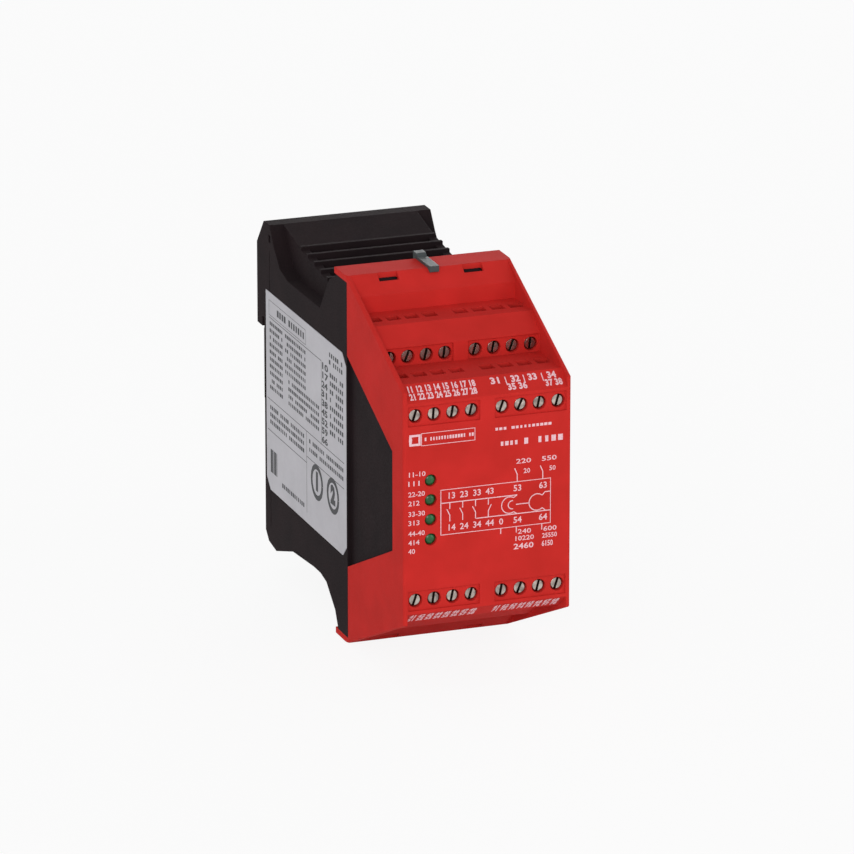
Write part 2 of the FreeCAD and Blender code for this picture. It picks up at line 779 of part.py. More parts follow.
def housing_snap_hooks(body):
    """The rebate under the cover's brows, the four hooks in their windows and the catch's slot."""
    brow_slope = f"({HALF_HEIGHT} - brow_rise) / (strip_depth - brow_setback)"
    strip_under = f"({HALF_HEIGHT} - cover_wall - fit_gap)"
    hook_front = "(window_depth + slide_gap)"
    hook_rear = "(strip_depth - fit_gap)"
    hook_top = f"({strip_under} + hook_sink)"
    brow_rear = "(strip_depth + cover_wall)"
    shoulder_rise = f"({strip_under} - ({brow_rear} - shoulder_depth) * {brow_slope})"
    strip_rise = f"({strip_under} - ({brow_rear} - strip_depth) * {brow_slope})"
    rebate = [
        ("shoulder_depth - fit_gap", shoulder_rise),
        (brow_rear, strip_under),
        (brow_rear, HALF_HEIGHT),
        ("shoulder_depth - fit_gap", HALF_HEIGHT),
    ]
    hook = [
        (hook_front, HOOK_ROOT),
        (hook_front, f"{hook_top} - ({hook_rear} - {hook_front}) * {brow_slope}"),
        (hook_rear, hook_top),
        (hook_rear, strip_rise),
        (brow_rear, strip_under),
        (f"{brow_rear} + inner_wall", strip_under),
        (f"{brow_rear} + inner_wall", HOOK_ROOT),
    ]
    hook_width = "(window_width - 2 * slide_gap)"
    for level, sign in (("upper", 1), ("lower", -1)):
        recess = side_sketch(body, f"{level}_rebate", rebate if sign > 0 else flipped(rebate))
        cut(body, f"{level}_rebate", recess, f"{COVER_INSIDE} + 2 * fit_gap", midplane=True)
        outline = hook if sign > 0 else flipped(hook)
        for side, hand in ((-1, "left"), (1, "right")):
            name = f"{level}_{hand}_hook"
            sketch = side_sketch(body, name, outline, x=f"{side} * window_spacing / 2")
            add(body, name, sketch, hook_width, midplane=True)

    slot = [
        rectangle(
            "catch_shift - catch_width / 2 - fit_gap",
            "catch_shift + catch_width / 2 + fit_gap",
            "cover_depth",
            "cover_depth + 2 * fit_gap + 2 * catch_wall",
        )
    ]
    slot_sketch = top_sketch(body, "catch_slot", slot, rise=HALF_HEIGHT)
    cut(body, "catch_slot", slot_sketch, f"{HALF_HEIGHT} - catch_foot_rise + fit_gap")


def housing_side_details(body):
    """The label's bed, the parting groove near the rear edge, and the pin hole above it."""
    skin = "module_width / 2"
    groove = rectangle("block_depth", "block_depth + groove_width", "-belly_drop", "hook_rise")
    hole = centred(
        "block_depth",
        "pin_hole_width",
        "pin_hole_rise - pin_hole_height / 2",
        "pin_hole_rise + pin_hole_height / 2",
    )
    for side, name in ((-1, "left"), (1, "right")):
        groove_sketch = side_sketch(body, f"{name}_groove", groove, x=f"{side} * {skin}")
        cut(body, f"{name}_groove", groove_sketch, "groove_width", back=side < 0)
        hole_sketch = side_sketch(body, f"{name}_pin_hole", hole, x=f"{side} * {skin}")
        cut(body, f"{name}_pin_hole", hole_sketch, "side_wall", back=side < 0)
    bed = side_sketch(body, "label_bed", label_outline("-fit_gap"), x=f"-{skin}")
    cut(body, "label_bed", bed, "label_wall", back=True)


def label_outline(inset="0"):
    """The label's border in depth and rise, with cut corners."""
    front = f"label_front_depth + ({inset})"
    rear = f"label_rear_depth - ({inset})"
    top = f"label_top - ({inset})"
    bottom = f"label_bottom + ({inset})"
    return [
        (front, f"{bottom} + label_corner"),
        (front, f"{top} - label_corner"),
        (f"{front} + label_corner", top),
        (rear, top),
        (rear, f"{bottom} + label_corner"),
        (f"{rear} - label_corner", bottom),
        (f"{front} + label_corner", bottom),
    ]


def side_label():
    """The rating label, a thin sheet laid flush in its bed on the left side."""
    body = new_body("side_label")
    sketch = side_sketch(body, "sheet", label_outline(), x="-module_width / 2")
    add(body, "sheet", sketch, "label_wall")
    return body


def cover_catch():
    """The grey finger that holds the top strip: upright behind it, flat over it, hooked in front."""
    body = new_body("cover_catch", x="catch_shift")
    top = f"({HALF_HEIGHT} + catch_rise)"
    over = f"({HALF_HEIGHT} + catch_wall)"
    outline = [
        ("strip_depth", HALF_HEIGHT),
        ("cover_depth + fit_gap", HALF_HEIGHT),
        ("cover_depth + fit_gap", "catch_foot_rise + 2 * catch_wall"),
        ("cover_depth + fit_gap + 2 * catch_wall", "catch_foot_rise"),
        ("cover_depth + fit_gap + 2 * catch_wall", top),
        ("cover_depth - catch_wall", top),
        ("cover_depth - 2 * catch_wall", over),
        ("strip_depth - catch_tip", over),
        ("strip_depth - catch_tip", f"{HALF_HEIGHT} - catch_wall"),
    ]
    add(body, "finger", side_sketch(body, "finger", outline), "catch_width", midplane=True)
    return body


# ---------------------------------------------------------------- rail latch


def rail_latch():
    """The sliding bar that grips the rail's lower edge, with a window round its spring."""
    body = new_body("rail_latch")
    floor = "(seat_depth - seat_pad - channel_depth + slide_gap)"
    step = f"({floor} + channel_step - 2 * slide_gap)"
    back = "(seat_depth - seat_pad - 2 * slide_gap)"
    bottom = "-(foot_drop - slide_gap)"
    flange = rectangle(floor, step, bottom, "latch_top")
    sketch = side_sketch(body, "flange", flange)
    add(body, "flange", sketch, "channel_width - 2 * slide_gap", midplane=True)

    tip_rise = f"({RAIL_BOTTOM} + latch_overlap)"
    ledge = f"({RAIL_BOTTOM} - rail_play)"
    tip_rear = "(seat_depth + latch_reach)"
    arm_bottom = f"({RAIL_BOTTOM} - 2 * latch_travel)"
    stem = [
        (f"{step} - slide_gap", bottom),
        (back, bottom),
        (back, arm_bottom),
        (tip_rear, f"{arm_bottom} + arm_bevel"),
        (tip_rear, f"{tip_rise} - tip_bevel"),
        (f"{tip_rear} - tip_bevel", tip_rise),
        (RAIL_REAR, tip_rise),
        (RAIL_REAR, ledge),
        (back, ledge),
        (back, "latch_top"),
        (f"{step} - slide_gap", "latch_top"),
    ]
    stem_width = "channel_neck - 2 * slide_gap"
    add(body, "stem", side_sketch(body, "stem", stem), stem_width, midplane=True)

    window = [centred("0", "latch_window_width", "latch_window_bottom", "latch_window_top")]
    slot_bottom = f"({bottom} + driver_wall)"
    slot = [centred("0", "latch_window_width", slot_bottom, f"{slot_bottom} + driver_slot")]
    for name, outline in (("window", window), ("driver_slot", slot)):
        sketch = front_sketch(body, name, outline, depth=floor)
        cut(body, name, sketch, "channel_depth + latch_reach")
    return body


def latch_spring():
    """The coil spring between the housing's stop and the top of the latch's window."""
    body = new_body("latch_spring", depth="seat_depth - seat_pad - channel_depth / 2")
    coil = [("0", "0", "spring_diameter"), ("0", "0", "spring_diameter - 2 * spring_wire")]
    seat = "(latch_window_bottom + fit_gap + stop_height)"
    sketch = top_sketch(body, "coil", circles=coil, rise=seat)
    add(body, "coil", sketch, f"latch_window_top - {seat}")
    return body


# ---------------------------------------------------------------- terminals


def terminal_screw(row, place):
    """One slotted clamp screw; its thread is left at core size."""
    body = new_body(
        f"screw_{row.name}_{place + 1}",
        x=POLE_PLACES[place],
        depth=f"({row.riser} + head_sink)",
        rise=row.level(row.rise),
        turn=SLOT_ANGLES[row.name][place],
    )
    stud(body, "head", "head_height", "head_diameter", "head_height")
    stud(body, "core", "head_height + core_length", "core_diameter", "core_length")
    slot = [rectangle("-slot_width / 2", "slot_width / 2", "-head_diameter", "head_diameter")]
    cut(body, "slot", front_sketch(body, "slot", slot), "slot_depth")
    return body


def terminal_strip(row):
    """The insulating block of one row, with a well for each clamp and a tongue to the board."""
    body = new_body(f"terminal_strip_{row.name}")
    block = [
        (row.shelf_front, row.strip_bottom),
        (row.shelf_front, row.shelf_top),
        (row.bevel_rear, row.strip_top),
        (row.strip_rear, row.strip_top),
        (row.strip_rear, row.strip_bottom),
    ]
    block_sketch = side_sketch(body, "block", row.facing(block))
    add(body, "block", block_sketch, STRIP_WIDTH, midplane=True)
    tongue = rectangle(
        f"{row.strip_rear} - well_wall",
        "terminal_board_depth - fit_gap",
        row.strip_bottom,
        f"{row.strip_bottom} + tongue_wall",
    )
    tongue_sketch = side_sketch(body, "tongue", row.facing(tongue))
    add(body, "tongue", tongue_sketch, TONGUE_WIDTH, midplane=True)

    well_width = "cage_width + 2 * fit_gap"
    notch_width = "core_diameter + 2 * slide_gap"
    wells = [centred(x, well_width, row.well_front, f"{row.cage_rear} + slide_gap") for x in POLE_PLACES]
    notches = [centred(x, notch_width, row.shelf_front, row.well_front) for x in POLE_PLACES]
    lower = row.sign < 0
    top = row.level(row.strip_top)
    well_sketch = top_sketch(body, "wells", wells, rise=top)
    cut(body, "wells", well_sketch, f"{row.strip_top} - {row.floor}", back=lower)
    notch_sketch = top_sketch(body, "notches", notches, rise=top)
    notch_floor = f"({row.rise} - core_diameter / 2 - slide_gap)"
    cut(body, "notches", notch_sketch, f"{row.strip_top} - {notch_floor}", back=lower)

    bar_rear = f"{row.bar_front} + bar_wall + fit_gap"
    slots = [
        centred(x, "bar_width + 2 * fit_gap", f"{row.bar_front} - fit_gap", bar_rear)
        for x in POLE_PLACES
    ]
    slot_sketch = top_sketch(body, "bar_slots", slots, rise=row.level(row.floor))
    cut(body, "bar_slots", slot_sketch, "well_wall + fit_gap", back=lower)
    return body


def clamp_cages(row):
    """The eight steel cages of one row: folded strips whose front lips run on the screws."""
    body = new_body(f"clamp_cages_{row.name}")
    lip = "(core_diameter / 2 + running_gap)"
    outer = "cage_width / 2"
    inner = "(cage_width / 2 - cage_wall)"
    inner_front = f"{row.cage_front} + cage_wall"
    inner_rear = f"{row.cage_rear} - cage_wall"
    sections = [
        [
            (f"{x} - {lip}", row.cage_front),
            (f"{x} - {outer}", row.cage_front),
            (f"{x} - {outer}", row.cage_rear),
            (f"{x} + {outer}", row.cage_rear),
            (f"{x} + {outer}", row.cage_front),
            (f"{x} + {lip}", row.cage_front),
            (f"{x} + {lip}", inner_front),
            (f"{x} + {inner}", inner_front),
            (f"{x} + {inner}", inner_rear),
            (f"{x} - {inner}", inner_rear),
            (f"{x} - {inner}", inner_front),
            (f"{x} - {lip}", inner_front),
        ]
        for x in POLE_PLACES
    ]
    bottom = row.level(f"{row.rise} - cage_height / 2")
    sketch = top_sketch(body, "folded", sections, rise=bottom)
    add(body, "folded", sketch, "cage_height", back=row.sign < 0)
    return body


def contact_bars(level):
    """The current bars of the upper or lower half, from each clamp back to the board."""
    body = new_body(f"contact_bars_{level}")
    for row in [row for row in ROWS if row.name.startswith(level)]:
        inner = f"({row.strip_bottom} - bar_wall)"
        top = f"({row.rise} + cage_height / 2)"
        outline = [
            (row.bar_front, inner),
            (row.bar_front, top),
            (f"{row.bar_front} + bar_wall", top),
            (f"{row.bar_front} + bar_wall", row.strip_bottom),
            ("terminal_board_depth", row.strip_bottom),
            ("terminal_board_depth", inner),
        ]
        sheet = side_sketch(body, f"{row.name}_sheet", row.facing(outline))
        add(body, f"{row.name}_sheet", sheet, f"2 * ({POLE_PLACES[-1]}) + bar_width", midplane=True)
        gaps = [
            rectangle(f"{left} + bar_width / 2", f"{right} - bar_width / 2", row.level(inner), row.level(top))
            for left, right in zip(POLE_PLACES, POLE_PLACES[1:])
        ]
        gap_sketch = front_sketch(body, f"{row.name}_gaps", gaps, depth=row.bar_front)
        cut(body, f"{row.name}_gaps", gap_sketch, f"terminal_board_depth - {row.bar_front}")
    return body


# ---------------------------------------------------------------- boards and components


def terminal_board(level, sign):
    """A board across the module that the terminals of one half are soldered to."""
    body = new_body(f"terminal_board_{level}")
    low, high = sorted((f"{sign} * terminal_board_bottom", f"{sign} * {BOARD_TOP}"), key=size)
    sheet = [centred("0", TONGUE_WIDTH, low, high)]
    sketch = front_sketch(body, "sheet", sheet, depth="terminal_board_depth")
    add(body, "sheet", sketch, "board_wall", back=True)
    return body


def logic_board():
    """The board that stands along the module and carries the indicators, relays and supply."""
    body = new_body("logic_board", x="logic_board_shift")
    upper = [
        ("logic_board_front", "logic_nose_height / 2"),
        ("logic_main_depth", "logic_neck_height / 2"),
        ("logic_main_depth", "logic_main_height / 2"),
        ("logic_board_rear", "logic_main_height / 2"),
    ]
    outline = upper + flipped(reversed(upper))
    add(body, "sheet", side_sketch(body, "sheet", outline), "board_wall", midplane=True)
    return body


def status_led(place):
    """One green indicator, set on the front edge of the logic board."""
    body = new_body(f"status_led_{place + 1}", x="logic_board_shift", rise=LED_RISES[place])
    stud(body, "lens", "logic_board_front", "led_diameter", "logic_board_front - led_front")
    return body


def block_on_board(label, depth, length, middle, height, width):
    """A plain closed component that stands on the logic board's inner face."""
    body = new_body(label, x="logic_board_shift + board_wall / 2")
    outline = rectangle(depth, f"{depth} + {length}", f"{middle} - {height} / 2", f"{middle} + {height} / 2")
    add(body, "case", side_sketch(body, "case", outline), width)
    return body


def smoothing_capacitor():
    """The round capacitor beside the transformer, standing on the logic board."""
    body = new_body("smoothing_capacitor", x="logic_board_shift + board_wall / 2")
    sketch = sketch_on(
        body, "YZ_Plane", "can", circles=[("capacitor_depth", "capacitor_rise", "capacitor_diameter")]
    )
    add(body, "can", sketch, "capacitor_length")
    return body


def board_headers():
    """The two pin headers that join the logic board to the terminal boards."""
    body = new_body("board_headers", x="logic_board_shift + board_wall / 2")
    front = "terminal_board_depth + board_wall"
    upper = rectangle(
        front,
        f"{front} + header_length",
        "header_middle - header_height / 2",
        "header_middle + header_height / 2",
    )
    add(body, "pair", side_sketch(body, "pair", upper, flipped(upper)), "header_width")
    return body


# ---------------------------------------------------------------- the whole module


def build():
    """Every sub-part of the module, in the order in which it is put together."""
    parts = [front_cover(), rear_housing(), side_label(), cover_catch(), rail_latch(), latch_spring()]
    for row in ROWS:
        parts += [terminal_strip(row), clamp_cages(row)]
        parts += [terminal_screw(row, place) for place in range(len(POLE_PLACES))]
    parts += [contact_bars("upper"), contact_bars("lower")]
    parts += [terminal_board("upper", 1), terminal_board("lower", -1), logic_board()]
    parts += [status_led(place) for place in range(LED_COUNT)]
    for place, side in enumerate((1, -1), start=1):
        parts.append(
            block_on_board(
                f"safety_relay_{place}",
                "relay_depth",
                "relay_length",
                f"{side} * relay_spacing / 2",
                "relay_height",
                "relay_width",
            )
        )
    parts.append(
        block_on_board(
            "supply_transformer",
            "transformer_depth",
            "transformer_length",
            "0",
            "transformer_height",
            "transformer_width",
        )
    )
    parts += [smoothing_capacitor(), board_headers()]
    return parts


def check(parts):
    """Stop if anything failed, a pocket removes nothing, or a sub-part has no sound solid."""
    for item in doc.Objects:
        if {"Invalid", "Error"} & set(item.State):
            raise RuntimeError(f"{item.Label} is {item.State}")
        if item.TypeId == "PartDesign::Pocket":
            if not item.Shape.Volume < item.BaseFeature.Shape.Volume - 1e-6:
                raise RuntimeError(f"{item.Label} removes nothing")
    for part in parts:
        if part.Shape.isNull() or not part.Shape.isValid() or not part.Shape.Solids:
            raise RuntimeError(f"{part.Label} has no valid solid")


parts = build()
doc.recompute()
check(parts)
os.makedirs("parts", exist_ok=True)
for part in parts:
    part.Shape.exportStep(f"parts/{part.Label}.step")
print(f"{len(parts)} sub-parts written")
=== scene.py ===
"""Dress the safety relay module: finishes, print, clamp screws, lights and the stage round it."""

import json
import logging
import math
import random
from dataclasses import dataclass
from enum import Enum
from typing import ClassVar

import bmesh
import bpy
from bpy.types import ID, Material, Mesh, Node, NodeSocket, NodeTree, Object, World
from bpy.types import bpy_prop_collection as Sockets
from mathutils import Matrix, Vector


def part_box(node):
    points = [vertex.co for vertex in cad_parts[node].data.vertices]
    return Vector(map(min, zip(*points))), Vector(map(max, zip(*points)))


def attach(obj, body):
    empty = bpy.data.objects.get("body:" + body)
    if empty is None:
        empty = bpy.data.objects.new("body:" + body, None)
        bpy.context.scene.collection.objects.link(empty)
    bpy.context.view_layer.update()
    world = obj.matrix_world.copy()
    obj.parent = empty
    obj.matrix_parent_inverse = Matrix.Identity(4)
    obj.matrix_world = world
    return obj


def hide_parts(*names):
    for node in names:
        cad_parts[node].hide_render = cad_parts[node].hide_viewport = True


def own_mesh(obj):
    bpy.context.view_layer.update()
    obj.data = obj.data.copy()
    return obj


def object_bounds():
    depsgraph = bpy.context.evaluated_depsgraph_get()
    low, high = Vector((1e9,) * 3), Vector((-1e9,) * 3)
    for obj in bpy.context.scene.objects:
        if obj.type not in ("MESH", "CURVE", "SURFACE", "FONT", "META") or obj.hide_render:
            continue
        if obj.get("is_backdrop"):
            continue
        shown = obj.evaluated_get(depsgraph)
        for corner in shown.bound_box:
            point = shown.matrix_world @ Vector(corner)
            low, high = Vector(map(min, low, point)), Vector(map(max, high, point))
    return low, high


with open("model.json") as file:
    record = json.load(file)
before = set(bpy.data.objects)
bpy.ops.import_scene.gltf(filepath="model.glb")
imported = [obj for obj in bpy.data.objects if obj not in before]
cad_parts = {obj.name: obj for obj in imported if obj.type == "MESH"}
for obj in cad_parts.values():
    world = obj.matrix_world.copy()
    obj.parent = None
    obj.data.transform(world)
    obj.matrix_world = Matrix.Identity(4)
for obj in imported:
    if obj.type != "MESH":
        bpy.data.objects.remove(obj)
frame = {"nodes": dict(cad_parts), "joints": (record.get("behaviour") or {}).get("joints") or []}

Pair = tuple[float, float]
Path = list[Pair]

MM = 0.001
NOISE_MIDDLE = (0.3, 0.7)  # between these lies nearly all of a noise
# painted shade: the metal's shader darkens a screw's slot by this attribute, more the deeper a
# place lies
RECESS = "recess"  # the attribute that says how deep in a recess a place lies, from 0 to 1
LOG = logging.getLogger("safety_relay")


# ------------------------------------------------------------------ node and mesh helpers


def linear(colour: str) -> tuple[float, float, float, float]:
    """Turn an sRGB hex colour into the linear values that shaders take.

    Args:
        colour: the colour as #RRGGBB.

    Returns:
        Linear red, green, blue and an alpha of 1.
    """
    shares = [int(colour[at : at + 2], 16) / 255 for at in (1, 3, 5)]
    bright = [s / 12.92 if s <= 0.04045 else ((s + 0.055) / 1.055) ** 2.4 for s in shares]
    return (*bright, 1.0)


def add_node(tree: NodeTree, kind: str, inputs: dict | None = None, **settings: object) -> Node:
    """Add one node with its settings, and link or fill its inputs.

    Args:
        tree: the tree that gets the node.
        kind: the node's type name.
        inputs: by socket name or number, a constant, a socket to link, or a node whose first
            output is linked.
        **settings: properties of the node.

    Returns:
        The new node.
    """
    node = tree.nodes.new(kind)
    for name, value in settings.items():
        setattr(node, name, value)
    for key, value in (inputs or {}).items():
        if isinstance(value, Node):
            value = value.outputs[0]
        if isinstance(value, NodeSocket):
            tree.links.new(value, node.inputs[key])
        else:
            node.inputs[key].default_value = value
    return node


def new_object(name: str, data: ID) -> Object:
    """Add an object to the scene."""
    added = bpy.data.objects.new(name, data)
    bpy.context.scene.collection.objects.link(added)
    return added


def shape_of(holder: Object) -> Mesh:
    """An object's evaluated shape as a plain mesh; the object is used up."""
    graph = bpy.context.evaluated_depsgraph_get()
    mesh = bpy.data.meshes.new_from_object(holder.evaluated_get(graph))
    bpy.data.objects.remove(holder)
    return mesh


def mesh_of(shape: bmesh.types.BMesh, name: str) -> Mesh:
    """A built shape as a mesh; the shape is used up."""
    mesh = bpy.data.meshes.new(name)
    shape.to_mesh(mesh)
    shape.free()
    return mesh


def clean_tree(owner: Material | World) -> NodeTree:
    """Switch on a material's or a world's node tree and empty it."""
    owner.use_nodes = True
    owner.node_tree.nodes.clear()
    return owner.node_tree


def new_tree(name: str, **kinds: str) -> tuple[NodeTree, Sockets]:
    """Start a Geometry Nodes tree with named inputs, a Material last, and one geometry output.

    Args:
        name: the tree's name.
        **kinds: by kind of socket, such as Float or Int, its inputs' names with commas between.

    Returns:
        The tree and its inputs by name.
    """
    tree = bpy.data.node_groups.new(name, "GeometryNodeTree")
    tree.interface.new_socket("Geometry", in_out="OUTPUT", socket_type="NodeSocketGeometry")
    for kind, names in {**kinds, "Material": "Material"}.items():
        for socket in names.split(", "):
            tree.interface.new_socket(socket, in_out="INPUT", socket_type=f"NodeSocket{kind}")
    return tree, tree.nodes.new("NodeGroupInput").outputs


def close_tree(tree: NodeTree, shape: Node, given: Sockets) -> NodeTree:
    """End a tree in Realize Instances and Set Material.

    Args:
        tree: the tree to end.
        shape: the node that makes the finished shape.
        given: the tree's inputs by name.

    Returns:
        The tree.
    """
    real = add_node(tree, "GeometryNodeRealizeInstances", {"Geometry": shape})
    inputs = {"Geometry": real, "Material": given["Material"]}
    dressed = add_node(tree, "GeometryNodeSetMaterial", inputs)
    add_node(tree, "NodeGroupOutput", {"Geometry": dressed})
    return tree


def bake(tree: NodeTree, values: dict[str, object], source: Mesh | None = None) -> Mesh:
    """Run a Geometry Nodes tree once and return its result as a plain mesh.

    Args:
        tree: the tree, which ends in Realize Instances and Set Material.
        values: its named inputs.
        source: the mesh that it starts from, if it takes one.

    Returns:
        The mesh, with its material.
    """
    holder = new_object("holder", source or bpy.data.meshes.new("holder"))
    modifier = holder.modifiers.new("tree", "NODES")
    modifier.node_group = tree
    for item in tree.interface.items_tree:
        if item.in_out == "INPUT" and item.name in values:
            modifier[item.identifier] = values[item.name]
    return shape_of(holder)


def joined(meshes: list[Mesh], name: str, material: Material) -> Mesh:
    """Join meshes into one flat-shaded mesh of one material, in the order given.

    Args:
        meshes: the meshes, which are used up.
        name: the new mesh's name.
        material: the material that all its faces take.

    Returns:
        The joined mesh.
    """
    whole = bmesh.new()
    for mesh in meshes:
        whole.from_mesh(mesh)
    for face in whole.faces:
        face.material_index = 0
    result = mesh_of(whole, name)
    result.shade_flat()
    result.materials.append(material)
    for mesh in meshes:
        bpy.data.meshes.remove(mesh)
    return result


def finished_piece(name: str, mesh: Mesh, body: str, smooth_deg: float = 0.0) -> Object:
    """Make a finished mesh a piece of the object that rides on a body.

    Args:
        name: the piece's name.
        mesh: its mesh, already in place.
        body: the body that it moves with.
        smooth_deg: the edge angle up to which its faces shade as one surface.

    Returns:
        The piece's object.
    """
    mesh.name = name
    if smooth_deg:
        mesh.shade_smooth()
        mesh.set_sharp_from_angle(angle=math.radians(smooth_deg))
    piece = new_object(name, mesh)
    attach(piece, body)
    LOG.info("%s: %d faces on %s", name, len(mesh.polygons), body)
    return piece


def dress(node: str, material: Material) -> None:
    """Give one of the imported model's nodes its finish.

    Args:
        node: the node's name.
        material: the finish.
    """
    shown = frame["nodes"][node]
    if shown.material_slots:
        shown.material_slots[0].material = material
    else:
        shown.data.materials.append(material)


# ------------------------------------------------------------------ finishes


def noise(tree: NodeTree, feature_mm: float, detail: float = 2.0) -> NodeSocket:
    """Noise in the object's own space whose features have a real size.

    Args:
        tree: the material's tree.
        feature_mm: the size of a feature in millimetres.
        detail: how many finer layers it has.

    Returns:
        The noise value's socket.
    """
    place = add_node(tree, "ShaderNodeTexCoord").outputs["Object"]
    inputs = {"Vector": place, "Scale": 1.0 / (feature_mm * MM), "Detail": detail}
    return add_node(tree, "ShaderNodeTexNoise", inputs).outputs["Fac"]


def spread(tree: NodeTree, value: NodeSocket, low: float, high: float) -> NodeSocket:
    """Spread the middle of a noise over a range from low to high."""
    dark, bright = NOISE_MIDDLE
    inputs = {"Value": value, "From Min": dark, "From Max": bright, "To Min": low, "To Max": high}
    return add_node(tree, "ShaderNodeMapRange", inputs).outputs["Result"]


def blended(tree: NodeTree, share: NodeSocket, first: object, second: object) -> NodeSocket:
    """Mix two colours, each a linear colour or a socket, by the second one's share."""
    inputs = {0: share, 6: first, 7: second}  # a mix node's share and its two colours
    return add_node(tree, "ShaderNodeMix", inputs, data_type="RGBA").outputs[2]


def relief(tree: NodeTree, height: NodeSocket, depth_mm: float, edge_mm: float) -> NodeSocket:
    """A surface normal with a fine relief and softly rounded edges.

    Args:
        tree: the material's tree.
        height: the relief's height from 0 to 1.
        depth_mm: its depth in millimetres.
        edge_mm: the radius that edges seem to have, in millimetres.

    Returns:
        The normal's socket.
    """
    edge = add_node(tree, "ShaderNodeBevel", {"Radius": edge_mm * MM}, samples=4)
    inputs = {"Height": height, "Distance": depth_mm * MM, "Normal": edge}
    return add_node(tree, "ShaderNodeBump", inputs).outputs["Normal"]


@dataclass(frozen=True)
class Surface:
    """A finish of two close colours in clouds; each kind says what else its shader gets."""

    name: str
    colour: str
    shade: str
    roughness: float = 0.5
    uneven: ClassVar[Pair] = (0.0, 0.0)  # how far roughness strays down and up

    def material(self) -> Material:
        """Build the material, with a Principled shader wired to its output.

        Returns:
            The material.
        """
        material = bpy.data.materials.new(self.name)
        tree = clean_tree(material)
        shader = add_node(tree, "ShaderNodeBsdfPrincipled", self.inputs(tree))
        add_node(tree, "ShaderNodeOutputMaterial", {"Surface": shader})
        return material

    def inputs(self, tree: NodeTree) -> dict[str, object]:
        """The shader's inputs, by socket name."""
        raise NotImplementedError

    def clouds(self, tree: NodeTree, cloud: NodeSocket) -> NodeSocket:
        """Its two colours, blended by a noise."""
        share = spread(tree, cloud, 0.0, 1.0)
        return blended(tree, share, linear(self.colour), linear(self.shade))

    def rough(self, tree: NodeTree, value: NodeSocket) -> NodeSocket:
        """Its roughness, made uneven by a noise."""
        down, up = self.uneven
        return spread(tree, value, self.roughness - down, self.roughness + up)


@dataclass(frozen=True)
class MouldedPlastic(Surface):
    """A moulded or cast plastic with a fine grain, such as a spark-eroded mould leaves."""

    sheen: float = 0.5
    grain_mm: float = 0.35  # such a grain is near 0.1 mm; drawn coarser, so that it shows
    grain_depth_mm: float = 0.012
    edge_mm: float = 0.25
    cloud_mm: float = 9.0
    ior: float = 1.53
    uneven: ClassVar[Pair] = (0.06, 0.06)

    def inputs(self, tree: NodeTree) -> dict[str, object]:
        """The shader's inputs, by socket name."""
        grain = noise(tree, self.grain_mm, 1.0)
        return {
            "IOR": self.ior,
            "Specular IOR Level": self.sheen,
            "Base Color": self.clouds(tree, noise(tree, self.cloud_mm)),
            "Roughness": self.rough(tree, grain),
            "Normal": relief(tree, grain, self.grain_depth_mm, self.edge_mm),
        }


@dataclass(frozen=True)
class PlatedMetal(Surface):
    """Bright metal with a cloudy film, and painted shade where a piece's mesh marks a recess."""

    roughness: float = 0.26
    cloud_mm: float = 0.9
    scratch_mm: float = 0.12  # plating is finer still; drawn coarser, so that it shows
    scratch_depth_mm: float = 0.004
    edge_mm: float = 0.12
    # the colour of the painted shade, which stands in for the shade in a recess
    grime: str = "#3A2F2A"
    uneven: ClassVar[Pair] = (0.08, 0.1)

    def inputs(self, tree: NodeTree) -> dict[str, object]:
        """The shader's inputs, by socket name."""
        cloud = noise(tree, self.cloud_mm)
        scratch = noise(tree, self.scratch_mm)
        recess = add_node(tree, "ShaderNodeAttribute", attribute_name=RECESS).outputs["Fac"]
        return {
            "Metallic": 1.0,
            # painted shade: deeper in a recess, the colour goes over to the painted shade's colour
            "Base Color": blended(tree, recess, self.clouds(tree, cloud), linear(self.grime)),
            "Roughness": self.rough(tree, cloud),
            "Normal": relief(tree, scratch, self.scratch_depth_mm, self.edge_mm),
        }


@dataclass(frozen=True)
class PrintedFilm(Surface):
    """A satin polyester film, slightly uneven where it lies on its adhesive."""

    roughness: float = 0.42
    cloud_mm: float = 14.0
    peel_mm: float = 1.2
    peel_depth_mm: float = 0.006
    edge_mm: float = 0.1
    uneven: ClassVar[Pair] = (0.05, 0.07)

    def inputs(self, tree: NodeTree) -> dict[str, object]:
        """The shader's inputs, by socket name."""
        orange_peel = noise(tree, self.peel_mm)
        return {
            "Base Color": self.clouds(tree, noise(tree, self.cloud_mm, 3.0)),
            "Roughness": self.rough(tree, orange_peel),
            "Normal": relief(tree, orange_peel, self.peel_depth_mm, self.edge_mm),
        }


@dataclass(frozen=True)
class PadInk(Surface):
    """Printed ink: matt, with a faint unevenness of cover."""

    cover_mm: float = 0.5
    uneven: ClassVar[Pair] = (0.0, 0.15)

    def inputs(self, tree: NodeTree) -> dict[str, object]:
        """The shader's inputs, by socket name."""
        cover = noise(tree, self.cover_mm)
        return {"Base Color": self.clouds(tree, cover), "Roughness": self.rough(tree, cover)}


@dataclass(frozen=True)
class TintedEpoxy(Surface):
    """The cast, diffuse epoxy of an indicator: deep in colour, with a clear glossy skin."""

    roughness: float = 0.3
    depth_mm: float = 1.1
    sheen: float = 0.3
    coat: float = 0.35
    coat_roughness: float = 0.1
    uneven: ClassVar[Pair] = (0.0, 0.1)

    def inputs(self, tree: NodeTree) -> dict[str, object]:
        """The shader's inputs, by socket name."""
        depth = noise(tree, self.depth_mm)
        return {
            "Base Color": self.clouds(tree, depth),
            "Roughness": self.rough(tree, depth),
            "Specular IOR Level": self.sheen,
            "Coat Weight": self.coat,
            "Coat Roughness": self.coat_roughness,
        }


